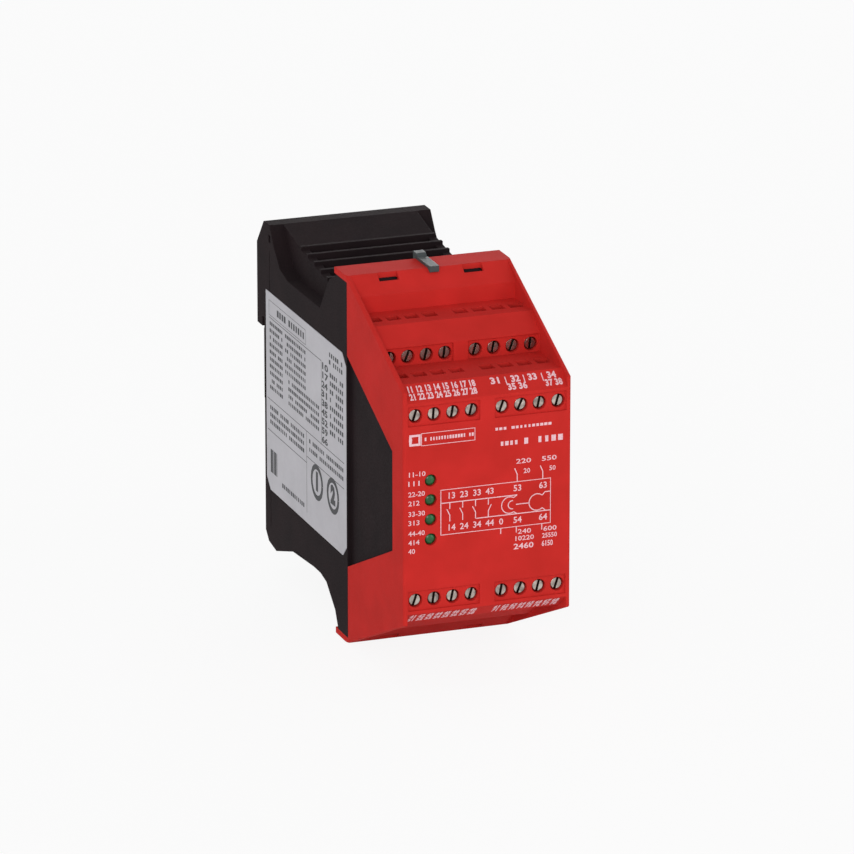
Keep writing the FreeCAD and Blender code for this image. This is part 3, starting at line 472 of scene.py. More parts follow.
class Finish(Enum):
    """The finishes of the module's pieces."""

    # ABS, moulded with a spark-eroded texture: an even, warm red whose grain swallows most sheen.
    RED_COVER = MouldedPlastic("abs_red_moulded", "#CC2D29", "#C02A25", 0.72, 0.07)
    # Glass-filled polyamide, moulded: near black with a brown cast and a coarse, dry grain.
    BLACK_HOUSING = MouldedPlastic(
        "polyamide_charcoal_moulded", "#22191B", "#1B1416", 0.78, 0.07, 0.45, 0.02, 0.35
    )
    # Polyamide, moulded smooth: the sliding latch, a neutral black with a little sheen.
    BLACK_LATCH = MouldedPlastic("polyamide_black_moulded", "#1F1F21", "#18181A", 0.5, 0.3)
    # Polyamide, moulded: the dark inner blocks that hold the clamps.
    DARK_STRIP = MouldedPlastic("polyamide_strip_moulded", "#1E1A1B", "#171415", 0.65, 0.2)
    # Acetal, moulded: a cool mid grey with a waxy sheen.
    GREY_CATCH = MouldedPlastic("acetal_grey_moulded", "#434A4B", "#393F40", 0.5, 0.25)
    # PBT, moulded: the relays' sealed cases.
    RELAY_CASE = MouldedPlastic("pbt_blue_moulded", "#22406B", "#1C365C", 0.4)
    # Cast resin: the transformer's dark potted block, slightly glossy and uneven.
    POTTING = MouldedPlastic("epoxy_potting_cast", "#2A2724", "#1F1D1B", 0.3, 0.5, 1.6, 0.03)
    # PVC, shrunk on: the capacitor's sleeve, glossy and nearly black.
    SLEEVE = MouldedPlastic("pvc_sleeve_shrunk", "#14161D", "#101218", 0.28, 0.5, 1.1, 0.01)
    # LCP, moulded: the headers' black bodies.
    HEADER = MouldedPlastic("lcp_header_moulded", "#161616", "#101010", 0.5)
    # Glass-epoxy board with solder resist: deep green and glossy, with the weave's faint relief.
    BOARD = MouldedPlastic("fr4_solder_resist", "#1B5030", "#154327", 0.3, 0.5, 0.5, 0.008)
    # Steel, zinc plated: bright heads whose film is warm and cloudy, with painted shade in the
    # slot.
    ZINC = PlatedMetal("steel_zinc_plated", "#C6BBB2", "#7C736D", 0.28, 1.5)
    # Spring steel, drawn: darker than zinc, with a fine, faint cloud.
    SPRING = PlatedMetal("steel_spring_drawn", "#A9A9AC", "#8C8C90", 0.34, 0.4)
    # Brass, tinned: a warm, dull silver.
    TINNED = PlatedMetal("brass_tinned", "#C9C4B4", "#B0AA98", 0.32)
    # Polyester label film, screen printed: pale cool grey with a satin sheen.
    LABEL = PrintedFilm("polyester_label_film", "#BDBBC1", "#B3B1B7")
    # White pad-printing ink, thin enough for the red to warm it a little.
    WHITE_INK = PadInk("ink_white_pad_printed", "#EFCBD1", "#E4B2BB")
    # Black screen-printing ink on the label.
    BLACK_INK = PadInk("ink_black_screen_printed", "#222226", "#2E2E33")
    # Green epoxy, cast: the unlit indicators are a deep bottle green.
    GREEN_LENS = TintedEpoxy("epoxy_green_cast", "#076430", "#05401D")


MATERIALS: dict[Finish, Material] = {}


def material_of(finish: Finish) -> Material:
    """The finish's material, built when it is first asked for."""
    if finish not in MATERIALS:
        MATERIALS[finish] = finish.value.material()
    return MATERIALS[finish]


# ------------------------------------------------------------------ shape trees

LINE_SIDES = 8
WIRE_SIDES = 12
TURN_STEPS = 24
SCREW_SIDES = 40
SHORTEST_DASH = 0.55  # as a share of the longest one
DASH_PITCH = 1.25  # from dash to dash, as a share of the longest one


def swept(tree: NodeTree, path: Node, radius: object, sides: int) -> Node:
    """A round bar along a path, of a radius and a number of sides."""
    ring = {"Resolution": sides, "Radius": radius}
    section = add_node(tree, "GeometryNodeCurvePrimitiveCircle", ring)
    bar = {"Curve": path, "Profile Curve": section, "Fill Caps": True}
    return add_node(tree, "GeometryNodeCurveToMesh", bar)


def printed_line_tree() -> NodeTree:
    """A tree that turns a flat path of edges into ink lines of one width.

    Returns:
        The tree.
    """
    tree, given = new_tree("printed_lines", Geometry="Geometry", Float="Width, Flatness")
    path = add_node(tree, "GeometryNodeMeshToCurve", {"Mesh": given["Geometry"]})
    radius = add_node(tree, "ShaderNodeMath", {0: given["Width"], 1: 0.5}, operation="MULTIPLY")
    line = swept(tree, path, radius, LINE_SIDES)
    place = add_node(tree, "GeometryNodeInputPosition")
    scale = add_node(tree, "ShaderNodeCombineXYZ", {0: 1.0, 1: 1.0, 2: given["Flatness"]})
    flat = add_node(tree, "ShaderNodeVectorMath", {0: place, 1: scale}, operation="MULTIPLY")
    pressed = add_node(tree, "GeometryNodeSetPosition", {"Geometry": line, "Position": flat})
    return close_tree(tree, pressed, given)


def dash_rows_tree() -> NodeTree:
    """A tree that fills a block with rows of short dashes, with gaps left at random.

    Returns:
        The tree.
    """
    sizes = "Width, Height, Dash, Line, Ink, Gaps"
    tree, given = new_tree("dash_rows", Float=sizes, Int="Columns, Rows, Seed")
    fields = {"Size X": "Width", "Size Y": "Height", "Vertices X": "Columns", "Vertices Y": "Rows"}
    extent = {key: given[name] for key, name in fields.items()}
    grid = add_node(tree, "GeometryNodeMeshGrid", extent)
    chance = {"Probability": given["Gaps"], "Seed": given["Seed"]}
    gap = add_node(tree, "FunctionNodeRandomValue", chance, data_type="BOOLEAN").outputs[3]
    kept = {"Geometry": grid, "Selection": gap}
    words = add_node(tree, "GeometryNodeDeleteGeometry", kept, domain="POINT")
    shares = {2: SHORTEST_DASH, 3: 1.0, "Seed": given["Seed"]}
    share = add_node(tree, "FunctionNodeRandomValue", shares).outputs[1]
    length = add_node(tree, "ShaderNodeMath", {0: share, 1: given["Dash"]}, operation="MULTIPLY")
    size = add_node(tree, "ShaderNodeCombineXYZ", {0: length, 1: given["Line"], 2: given["Ink"]})
    dash = add_node(tree, "GeometryNodeMeshCube", {"Size": (1.0, 1.0, 1.0)})
    rows = {"Points": words, "Instance": dash, "Scale": size}
    return close_tree(tree, add_node(tree, "GeometryNodeInstanceOnPoints", rows), given)


def clamp_screw_tree() -> NodeTree:
    """A tree for one slotted clamp screw, its head's face at the origin and its shank along -Z.

    Returns:
        The tree.
    """
    names = "Head, Height, Chamfer, Core, Length, Slot, Slot depth, Grime depth"
    tree, given = new_tree("clamp_screw", Float=names)
    place = add_node(tree, "GeometryNodeInputPosition")
    known = dict(add_node(tree, "ShaderNodeSeparateXYZ", {0: place}).outputs.items())
    known.update((name, given[name]) for name in names.split(", "))
    sums = (
        ("head radius", "MULTIPLY", "Head", 0.5),
        ("core radius", "MULTIPLY", "Core", 0.5),
        ("face radius", "SUBTRACT", "head radius", "Chamfer"),
        ("straight", "SUBTRACT", "Height", "Chamfer"),
        ("chamfer foot", "MULTIPLY", "Chamfer", -1.0),
        ("head foot", "MULTIPLY", "Height", -1.0),
        ("core foot", "MULTIPLY", "Length", -1.0),
        ("slot height", "MULTIPLY", "Slot depth", 2.0),  # half of it stands above the face
        ("slot length", "MULTIPLY", "Head", 2.0),  # well past both sides of the head
        ("depth", "MULTIPLY", "Z", -1.0),
        # painted shade: its share grows with depth, up to full at the given depth
        ("share", "DIVIDE", "depth", "Grime depth"),
        ("aside", "ABSOLUTE", "X", 0.0),
        ("reach", "MULTIPLY", "Slot", 0.6),  # just past the slot's walls
        ("within", "LESS_THAN", "aside", "reach"),
    )
    for name, operation, first, second in sums:
        pair = {0: known.get(first, first), 1: known.get(second, second)}
        known[name] = add_node(tree, "ShaderNodeMath", pair, operation=operation).outputs[0]

    whole = add_node(tree, "GeometryNodeMeshBoolean", operation="UNION", solver="EXACT")
    stages = (
        ("core radius", "core radius", "Length", "core foot"),
        ("head radius", "head radius", "straight", "head foot"),
        ("face radius", "head radius", "Chamfer", "chamfer foot"),
    )
    for top, foot, height, start in stages:
        sizes = {"Radius Top": known[top], "Radius Bottom": known[foot], "Depth": known[height]}
        stage = add_node(tree, "GeometryNodeMeshCone", {"Vertices": SCREW_SIDES, **sizes})
        drop = add_node(tree, "ShaderNodeCombineXYZ", {2: known[start]})
        moved = add_node(tree, "GeometryNodeTransform", {"Geometry": stage, "Translation": drop})
        tree.links.new(moved.outputs["Geometry"], whole.inputs["Mesh 2"])

    opening = {0: known["Slot"], 1: known["slot length"], 2: known["slot height"]}
    slot_size = add_node(tree, "ShaderNodeCombineXYZ", opening)
    slot = add_node(tree, "GeometryNodeMeshCube", {"Size": slot_size})
    pair = {"Mesh 1": whole, "Mesh 2": slot}
    cut = add_node(tree, "GeometryNodeMeshBoolean", pair, operation="DIFFERENCE", solver="EXACT")
    # painted shade: stored only inside the slot, for the metal's shader to darken it
    both = {0: known["share"], 1: known["within"]}
    grime = add_node(tree, "ShaderNodeMath", both, operation="MULTIPLY", use_clamp=True)
    mark = {"Geometry": cut, "Name": RECESS, "Value": grime}
    marked = add_node(
        tree, "GeometryNodeStoreNamedAttribute", mark, data_type="FLOAT", domain="POINT"
    )
    return close_tree(tree, marked, given)


def coil_tree() -> NodeTree:
    """A tree for a coil spring that stands on the origin.

    Returns:
        The tree.
    """
    tree, given = new_tree("coil_spring", Float="Radius, Wire, Height, Turns")
    fields = {
        "Rotations": "Turns",
        "Start Radius": "Radius",
        "End Radius": "Radius",
        "Height": "Height",
    }
    sizes = {key: given[name] for key, name in fields.items()}
    path = add_node(tree, "GeometryNodeCurveSpiral", {"Resolution": TURN_STEPS, **sizes})
    return close_tree(tree, swept(tree, path, given["Wire"], WIRE_SIDES), given)


# ------------------------------------------------------------------ print


@dataclass(frozen=True)
class TextBlock:
    """Rows of dashes that stand for small print: where the first starts and how they are set."""

    left: float
    top: float
    width: float
    rows: int = 1
    pitch: float = 2.0
    dash: float = 1.1
    line: float = 1.0
    gaps: float = 0.08


@dataclass(frozen=True)
class PrintPlane:
    """A flat place that takes print: its origin, and which ways its lines and its upright run."""

    origin: Vector
    across: Vector
    upright: Vector

    def matrix(self, lift_mm: float) -> Matrix:
        """The matrix from print coordinates in metres to the module.

        Args:
            lift_mm: how far the print's middle stands off the surface.

        Returns:
            The matrix.
        """
        across = self.across.normalized()
        upright = self.upright.normalized()
        outwards = across.cross(upright)
        turn = Matrix((across, upright, outwards)).transposed().to_4x4()
        return Matrix.Translation(self.origin + outwards * lift_mm * MM) @ turn


class PrintShop:
    """Makes digits, lines and dashes as thin ink meshes on a print plane."""

    ink_mm: float = 0.02

    def __init__(self, plane: PrintPlane, finish: Finish) -> None:
        """Set the plane and the ink, and start with nothing printed."""
        self.plane = plane
        self.material = material_of(finish)
        self.meshes: list[Mesh] = []

    def keep(self, mesh: Mesh, x_mm: float = 0.0, y_mm: float = 0.0) -> None:
        """Place a flat mesh on the plane.

        Args:
            mesh: the mesh, flat in its own X and Y.
            x_mm: its place across the plane.
            y_mm: its place up the plane.
        """
        shift = Matrix.Translation((x_mm * MM, y_mm * MM, 0.0))
        mesh.transform(self.plane.matrix(self.ink_mm / 2) @ shift)
        self.meshes.append(mesh)

    def digits(
        self,
        text: str,
        x_mm: float,
        y_mm: float,
        height_mm: float,
        width_mm: float = 0.0,
        bold_mm: float = 0.02,
    ) -> None:
        """Print plain numbers, centred on a place.

        Args:
            text: the digits.
            x_mm: the middle of the line across the plane.
            y_mm: the middle of the line up the plane.
            height_mm: the height of a digit.
            width_mm: the width that the line is set to, if it is given.
            bold_mm: how much the strokes are thickened.
        """
        font = bpy.data.curves.new("digits", "FONT")
        font.body = text
        font.align_x = "CENTER"
        font.align_y = "CENTER"
        font.size = height_mm * MM / DIGIT_SHARE
        font.resolution_u = 2
        font.offset = bold_mm * MM
        font.extrude = self.ink_mm * MM / 2
        font.materials.append(self.material)
        mesh = shape_of(new_object("digits", font))
        if width_mm:
            reach = [vertex.co.x for vertex in mesh.vertices]
            mesh.transform(Matrix.Scale(width_mm * MM / (max(reach) - min(reach)), 4, (1, 0, 0)))
        self.keep(mesh, x_mm, y_mm)

    def lines(self, paths: list[Path], width_mm: float) -> None:
        """Print paths as lines.

        Args:
            paths: the paths, each a list of places in millimetres.
            width_mm: the width of the lines.
        """
        outline = bmesh.new()
        for path in paths:
            points = [outline.verts.new((x * MM, y * MM, 0.0)) for x, y in path]
            for start, end in zip(points, points[1:]):
                outline.edges.new((start, end))
        source = mesh_of(outline, "paths")
        values = {
            "Width": width_mm * MM,
            "Flatness": self.ink_mm / width_mm,
            "Material": self.material,
        }
        self.keep(bake(TREES["printed_lines"], values, source))

    def dashes(self, block: TextBlock, seed: int) -> None:
        """Print a block of dashes that stands for a paragraph.

        Args:
            block: the block.
            seed: the seed of its gaps and lengths.
        """
        height = (block.rows - 1) * block.pitch
        values = {
            "Width": (block.width - block.dash) * MM,
            "Height": height * MM,
            "Columns": round(block.width / (block.dash * DASH_PITCH)),
            "Rows": block.rows,
            "Dash": block.dash * MM,
            "Line": block.line * MM,
            "Ink": self.ink_mm * MM,
            "Gaps": block.gaps,
            "Seed": seed,
            "Material": self.material,
        }
        mesh = bake(TREES["dash_rows"], values)
        self.keep(mesh, block.left + block.width / 2, block.top - height / 2)

    def piece(self, name: str, slot: str) -> Object:
        """Join what was printed into one piece that rides on the module's body."""
        return finished_piece(name, joined(self.meshes, name, self.material), "module")


DIGIT_SHARE = 0.69  # a digit's height as a share of the built-in font's size
ARC_STEP_DEG = 20

TREES: dict[str, NodeTree] = {}


def rectangle_path(left: float, right: float, low: float, high: float) -> Path:
    """A closed rectangular path, from the middle of its left side, so that each corner is full."""
    start = (left, (low + high) / 2)
    return [start, (left, high), (right, high), (right, low), (left, low), start]


def arc_path(x: float, y: float, radius: float, start_deg: float, end_deg: float) -> Path:
    """A circular path of short straight steps.

    Args:
        x: the middle across.
        y: the middle upwards.
        radius: the radius.
        start_deg: the angle of its first place.
        end_deg: the angle of its last place.

    Returns:
        The path's places.
    """
    sweep = end_deg - start_deg
    steps = round(abs(sweep) / ARC_STEP_DEG)
    turns = [math.radians(start_deg + sweep * at / steps) for at in range(steps + 1)]
    return [(x + radius * math.cos(turn), y + radius * math.sin(turn)) for turn in turns]


# ------------------------------------------------------------------ sub-assemblies


@dataclass
class FrontCover:
    """The red cover and its white print."""

    face_half_height_mm: float = 27.9
    bevel_depth_mm: float = 4.7
    bevel_rise_mm: float = 3.7
    line_pitch_mm: float = 2.3
    number_height_mm: float = 1.85
    bold_mm: float = 0.1
    left_group_mm: Pair = (-11.3, 18.0)
    right_group_mm: Pair = (11.2, 17.6)
    tag_square_mm: tuple[float, ...] = (-20.6, -18.2, 17.0, 19.4)
    tag_line_mm: float = 0.85
    tag_field_mm: tuple[float, ...] = (-17.7, -3.4, 16.6, 19.8)
    field_line_mm: float = 0.22
    rows: tuple[TextBlock, ...] = (
        TextBlock(-16.9, 18.2, 13.2, dash=0.6, line=0.9, gaps=0.04),
        TextBlock(2.0, 18.8, 15.2, dash=0.9, line=0.7, gaps=0.05),
        TextBlock(3.4, 14.8, 4.8, dash=1.0, line=1.1, gaps=0.0),
        TextBlock(9.7, 14.9, 10.6, dash=1.35, line=1.6, gaps=0.1),
    )
    mark_height_mm: float = 1.25
    rule_line_mm: float = 0.26

    def build(self) -> None:
        """Dress the moulding and print on its face and bevels."""
        dress("front_cover", material_of(Finish.RED_COVER))
        low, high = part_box("front_cover")
        self.front = low.y
        self.middle = (low.z + high.z) / 2
        self.print_face()
        self.print_upper_bevel()
        self.print_lower_bevel()

    def print_face(self) -> None:
        """Print the tag fields, the lights' marks and the circuit on the face."""
        plane = PrintPlane(
            Vector((0.0, self.front, self.middle)), Vector((1, 0, 0)), Vector((0, 0, 1))
        )
        shop = PrintShop(plane, Finish.WHITE_INK)
        self.tag_fields(shop)
        self.light_marks(shop)
        CircuitDiagram().draw(shop)
        shop.piece("face_print", "red_cover_plastic")

    def tag_fields(self, shop: PrintShop) -> None:
        """A thick square with an outlined field beside it, and two plain rows on the right."""
        shop.lines([rectangle_path(*self.tag_square_mm)], self.tag_line_mm)
        shop.lines([rectangle_path(*self.tag_field_mm)], self.field_line_mm)
        for seed, block in enumerate(self.rows, start=31):
            shop.dashes(block, seed)

    def light_marks(self, shop: PrintShop) -> None:
        """Two short rows of digits beside each indicator, and a third beside the last."""
        for place in range(1, 5):
            low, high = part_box(f"status_led_{place}")
            rise = ((low.z + high.z) / 2 - self.middle) / MM
            shop.digits(f"{place}{place}-{place}0", -19.0, rise + 1.95, self.mark_height_mm, 4.4)
            shop.digits(f"{place}1{place}", -19.7, rise - 0.45, self.mark_height_mm, 3.0)
        shop.digits("40", -20.3, rise - 2.75, self.mark_height_mm, 1.8)

    def bevel_shop(self, side: int) -> PrintShop:
        """A print shop in the middle of a bevel.

        Args:
            side: 1 for the upper bevel, -1 for the lower one.

        Returns:
            The print shop.
        """
        slope = Vector((0.0, side * self.bevel_depth_mm, self.bevel_rise_mm))
        depth = self.front + self.bevel_depth_mm / 2 * MM
        rise = self.middle + side * (self.face_half_height_mm + self.bevel_rise_mm / 2) * MM
        plane = PrintPlane(Vector((0.0, depth, rise)), Vector((1, 0, 0)), slope)
        return PrintShop(plane, Finish.WHITE_INK)

    def number_row(self, shop: PrintShop, first: int, count: int, group: Pair, y_mm: float) -> None:
        """A row of numbers up from a first one, as wide as its group, at a place up the bevel."""
        numbers = " ".join(str(first + step) for step in range(count))
        shop.digits(numbers, group[0], y_mm, self.number_height_mm, group[1], self.bold_mm)

    def print_upper_bevel(self) -> None:
        """Two full rows over the left group, and numbers with rules over the right one."""
        shop = self.bevel_shop(1)
        row = self.line_pitch_mm / 2
        self.number_row(shop, 11, 8, self.left_group_mm, row)
        self.number_row(shop, 21, 8, self.left_group_mm, -row)
        for number, place in ((31, 3.3), (32, 8.6), (33, 13.2), (34, 18.3)):
            self.number_row(shop, number, 1, (place, 2.4), row)
        rules = [[(place, -0.4), (place, 2.1)] for place in (6.0, 10.9, 15.8)]
        shop.lines(rules, self.rule_line_mm)
        self.number_row(shop, 35, 2, (8.5, 5.2), -row)
        self.number_row(shop, 37, 2, (18.3, 4.6), -row)
        shop.piece("upper_terminal_numbers", "red_cover_plastic")

    def print_lower_bevel(self) -> None:
        """Two rows under each group."""
        shop = self.bevel_shop(-1)
        row = self.line_pitch_mm / 2
        for group, first in ((self.left_group_mm, 41), (self.right_group_mm, 61)):
            self.number_row(shop, first, 8, group, row)
            self.number_row(shop, first + 10, 8, group, -row)
        shop.piece("lower_terminal_numbers", "red_cover_plastic")


@dataclass
class CircuitDiagram:
    """A plain contact diagram: two rows of numbers, contacts between them and two relay coils."""

    left: float = -12.5
    right: float = 17.0
    top: float = 4.3
    bottom: float = -7.6
    upper_rule: float = 0.8
    lower_rule: float = -4.2
    contact_pitch: float = 3.45
    first_contact: float = -10.1
    coil_places: Pair = (6.0, 13.4)
    coil_radius: float = 2.2
    lead_places: Pair = (8.0, 14.9)
    half_gap: float = 0.8
    swing: float = 0.8
    line: float = 0.24
    digit: float = 1.6
    digit_bold: float = 0.03
    small_digit: float = 1.2

    def draw(self, shop: PrintShop) -> None:
        """Draw the frame, the contacts, the coils and the leads.

        Args:
            shop: the print shop of the face.
        """
        shop.lines([rectangle_path(self.left, self.right, self.bottom, self.top)], self.line)
        rules = [
            [(self.left, self.upper_rule), (self.lead_places[0], self.upper_rule)],
            [(-3.0, self.lower_rule), (self.right, self.lower_rule)],
        ]
        shop.lines(rules, self.line)
        self.draw_contacts(shop)
        self.draw_coils(shop)
        self.draw_leads(shop)

    def number_pair(self, shop: PrintShop, first: int, second: int, x_mm: float) -> None:
        """A number in the upper row and one in the lower row."""
        upper, lower = (self.top + self.upper_rule) / 2, (self.bottom + self.lower_rule) / 2
        shop.digits(str(first), x_mm, upper, self.digit, bold_mm=self.digit_bold)
        shop.digits(str(second), x_mm, lower, self.digit, bold_mm=self.digit_bold)

    def draw_contacts(self, shop: PrintShop) -> None:
        """Four contacts, each with a number above and below it."""
        middle = (self.upper_rule + self.lower_rule) / 2
        high, low = middle + self.half_gap, middle - self.half_gap
        for step in range(4):
            x = self.first_contact + step * self.contact_pitch
            upper = [(x, self.upper_rule), (x, high)]
            arm = [(x + (self.swing if step == 3 else -self.swing), high), (x, low)]
            lower = [(x, low), (x, self.lower_rule)]
            shop.lines([upper, arm, lower], self.line)
            self.number_pair(shop, 13 + 10 * step, 14 + 10 * step, x + 0.4)

    def draw_coils(self, shop: PrintShop) -> None:
        """Two open rings, joined by a line, with stems to the rules and their numbers."""
        middle = (self.upper_rule + self.lower_rule) / 2
        near, far = self.coil_places
        rings = [
            arc_path(near, middle, self.coil_radius, 60, 300),
            arc_path(near + 0.7, middle, self.coil_radius / 2, 80, 280),
            arc_path(far, middle, self.coil_radius, 50, 310),
        ]
        link = [(near + 1.7, middle), (far - self.coil_radius, middle)]
        stems = [
            [rings[0][0], (self.lead_places[0], self.upper_rule)],
            [rings[0][-1], (self.lead_places[0], self.lower_rule)],
            [rings[2][0], (self.lead_places[1] + 0.6, self.upper_rule)],
            [rings[2][-1], (self.lead_places[1] + 0.8, self.lower_rule)],
            [(self.lead_places[1] + 0.6, self.upper_rule), (self.right, self.upper_rule)],
        ]
        shop.lines([*rings, link, *stems], self.line)
        for step, x in enumerate(self.lead_places):
            self.number_pair(shop, 53 + 10 * step, 54 + 10 * step, x + 0.1)
        low = (self.bottom + self.lower_rule) / 2
        shop.digits("0", 3.7, low, self.digit, bold_mm=self.digit_bold)

    def draw_leads(self, shop: PrintShop) -> None:
        """The leads that leave the frame, with short rows of digits beside them."""
        leads = [[(3.6, self.bottom), (3.6, self.bottom - 1.5)]]
        for step, x in enumerate(self.lead_places):
            leads.append([(x, self.top), (x, self.top + 2.0), (x - 0.7, self.top + 3.6)])
            leads.append([(x - 0.2, self.bottom), (x - 0.2, self.bottom - 1.6)])
            number = 20 + 30 * step
            for factor, shift, rise, width in (
                (11, 1.7, 9.6, 4.0),
                (1, 2.6, 6.9, 1.7),
                (12, 2.0, -9.1, 3.6),
                (511, 1.9, -10.9, 5.0 - step),
            ):
                shop.digits(str(number * factor), x + shift, rise, self.small_digit, width)
            shop.digits(str(number * 123), x + 1.8 - step / 2, -13.0, 1.4, 5.4 - 2.4 * step, 0.04)
        shop.lines(leads, self.line)


@dataclass
class RearHousing:
    """The charcoal housing with its catch, latch and coil spring."""

    spring_turns: float = 6.5
    wire_radius_mm: float = 0.35
    latch_travel_m: float = 0.003

    def build(self) -> None:
        """Dress the mouldings and put a real coil in the spring's place."""
        dress("rear_housing", material_of(Finish.BLACK_HOUSING))
        dress("cover_catch", material_of(Finish.GREY_CATCH))
        dress("rail_latch", material_of(Finish.BLACK_LATCH))
        self.coil()

    def coil(self) -> None:
        """Wind the latch's spring as a coil in the place of the plain one."""
        low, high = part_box("latch_spring")
        wire = self.wire_radius_mm * MM
        height = high.z - low.z
        values = {
            "Radius": (high.x - low.x) / 2 - wire,
            "Wire": wire,
            "Height": height - 2 * wire,
            "Turns": self.spring_turns,
            "Material": material_of(Finish.SPRING),
        }
        mesh = bake(TREES["coil_spring"], values)
        middle = (low + high) / 2
        mesh.transform(Matrix.Translation((middle.x, middle.y, low.z + wire)))
        piece = finished_piece("latch_coil", mesh, "module", 50.0)
        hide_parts("latch_spring")
        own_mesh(piece)


@dataclass
class RatingLabel:
    """The pale label on the left side: places run from its rear edge, and down from its top."""

    blocks: tuple[TextBlock, ...] = (
        TextBlock(9.0, -4.2, 22.0, dash=1.5, line=1.8),
        TextBlock(3.0, -8.4, 10.5, 10, 1.95),
        TextBlock(15.5, -8.4, 16.5, 6, 1.95),
        TextBlock(18.0, -20.3, 24.5, 4, 1.95),
        TextBlock(3.0, -31.6, 27.5, 3, line=1.1),
        TextBlock(12.5, -50.6, 18.0, line=1.2),
        TextBlock(34.5, -31.6, 27.0, 2, 2.3, line=1.1),
        TextBlock(50.5, -3.4, 10.5, 2, dash=1.2, line=1.2),
        TextBlock(51.0, -8.8, 10.5, 8, 2.2, 1.2, 1.2),
    )
    rule_mm: float = 0.2
    column_mm: Pair = (47.0, 4.6)
    column_step_mm: float = 2.5
    bars_mm: Pair = (3.6, -43.2)
    bars_width_mm: float = 5.0
    bar_height_mm: float = 6.4
    bar_lines_mm: Pair = (0.5, 0.8)
    bar_pitch_mm: Pair = (0.75, 1.1)
    rings_mm: tuple[Pair, ...] = ((40.6, -41.2), (53.2, -41.0))
    ring_radius: float = 4.2
    ring_line_mm: float = 1.4

    def build(self) -> None:
        """Dress the film and print on it."""
        dress("side_label", material_of(Finish.LABEL))
        low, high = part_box("side_label")
        plane = PrintPlane(Vector((low.x, high.y, high.z)), Vector((0, -1, 0)), Vector((0, 0, 1)))
        shop = PrintShop(plane, Finish.BLACK_INK)
        for seed, block in enumerate(self.blocks, start=40):
            shop.dashes(block, seed)
        self.print_rules(shop)
        self.print_marks(shop)
        shop.piece("label_print", "pale_label_film")

    def print_rules(self, shop: PrintShop) -> None:
        """The header's box and the thin rules that part the fields."""
        shop.lines([rectangle_path(2.6, 32.0, -6.2, -2.2)], self.rule_mm)
        rules = [
            [(2.6, -6.9), (44.5, -6.9)],
            [(44.5, -6.9), (44.5, -29.5)],
            [(1.0, -29.5), (62.0, -29.5)],
            [(1.0, -38.2), (32.5, -38.2)],
            [(32.5, -29.5), (32.5, -52.0)],
            [(32.5, -36.4), (62.0, -36.4)],
        ]
        shop.lines(rules, self.rule_mm)

    def print_marks(self, shop: PrintShop) -> None:
        """The upright column of numbers, the block of bars and two numbered rings."""
        left, width = self.column_mm
        for step in range(9):
            rise = -8.0 - self.column_step_mm * step
            shop.digits(str(10 + 7 * step), left, rise, 1.7, width, 0.08)
        bars = random.Random(12)
        left, top = self.bars_mm
        x = left
        while x < left + self.bars_width_mm:
            shop.lines([[(x, top), (x, top - self.bar_height_mm)]], bars.choice(self.bar_lines_mm))
            x += bars.uniform(*self.bar_pitch_mm)
        for number, (x, y) in enumerate(self.rings_mm, start=1):
            shop.lines([arc_path(x, y, self.ring_radius, 0, 360)], self.ring_line_mm)
            shop.digits(str(number), x, y, 4.4, bold_mm=0.5)


@dataclass
class ClampScrews:
    """The thirty-two slotted clamp screws, each on its own body."""

    chamfer_mm: float = 0.3
    slot_mm: float = 0.65
    slot_depth_mm: float = 0.9
    # how deep in the slot the painted shade grows to full
    grime_depth_mm: float = 0.5
    core_mm: float = 1.8
    head_height_mm: float = 1.8
    near_mm: float = 0.01
    far_share: float = 0.98

    def build(self) -> None:
        """Replace each plain screw by a turned one with a chamfered head."""
        joints = {joint["child"]: joint for joint in frame["joints"]}
        for node in frame["nodes"]:
            if node.startswith("screw_"):
                self.screw(node, joints[f"{node}_body"])

    def screw(self, node: str, joint: dict) -> None:
        """Build one screw at its joint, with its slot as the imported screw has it.

        Args:
            node: the screw's node.
            joint: the joint that it turns on.
        """
        low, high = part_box(node)
        middle = Vector((joint["pos_m"][0], low.y, joint["pos_m"][2]))
        values = {
            "Head": high.x - low.x,
            "Height": self.head_height_mm * MM,
            "Chamfer": self.chamfer_mm * MM,
            "Core": self.core_mm * MM,
            "Length": high.y - low.y,
            "Slot": self.slot_mm * MM,
            "Slot depth": self.slot_depth_mm * MM,
            "Grime depth": self.grime_depth_mm * MM,
            "Material": material_of(Finish.ZINC),
        }
        mesh = bake(TREES["clamp_screw"], values)
        upright = Matrix.Rotation(math.radians(90), 4, "X")
        turn = Matrix.Rotation(self.slot_turn(node, middle), 4, "Y")
        mesh.transform(Matrix.Translation(middle) @ turn @ upright)
        piece = finished_piece(f"{node}_turned", mesh, f"{node}_body", 35.0)
        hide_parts(node)

    def slot_turn(self, node: str, middle: Vector) -> float:
        """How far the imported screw's slot is turned about the screw's axis.

        Args:
            node: the screw's node.
            middle: the middle of the screw's face.

        Returns:
            The angle in radians.
        """
        corners = {
            ((vertex.co - middle) / MM).xz.to_tuple(3)
            for vertex in frame["nodes"][node].data.vertices
            if abs(vertex.co.y - middle.y - self.slot_depth_mm * MM) < self.near_mm * MM
        }
        far = self.far_share * max(math.hypot(*corner) for corner in corners)
        turns = [math.atan2(*corner) for corner in corners if math.hypot(*corner) > far]
        sines = sum(math.sin(2 * turn) for turn in turns)
        return math.atan2(sines, sum(math.cos(2 * turn) for turn in turns)) / 2


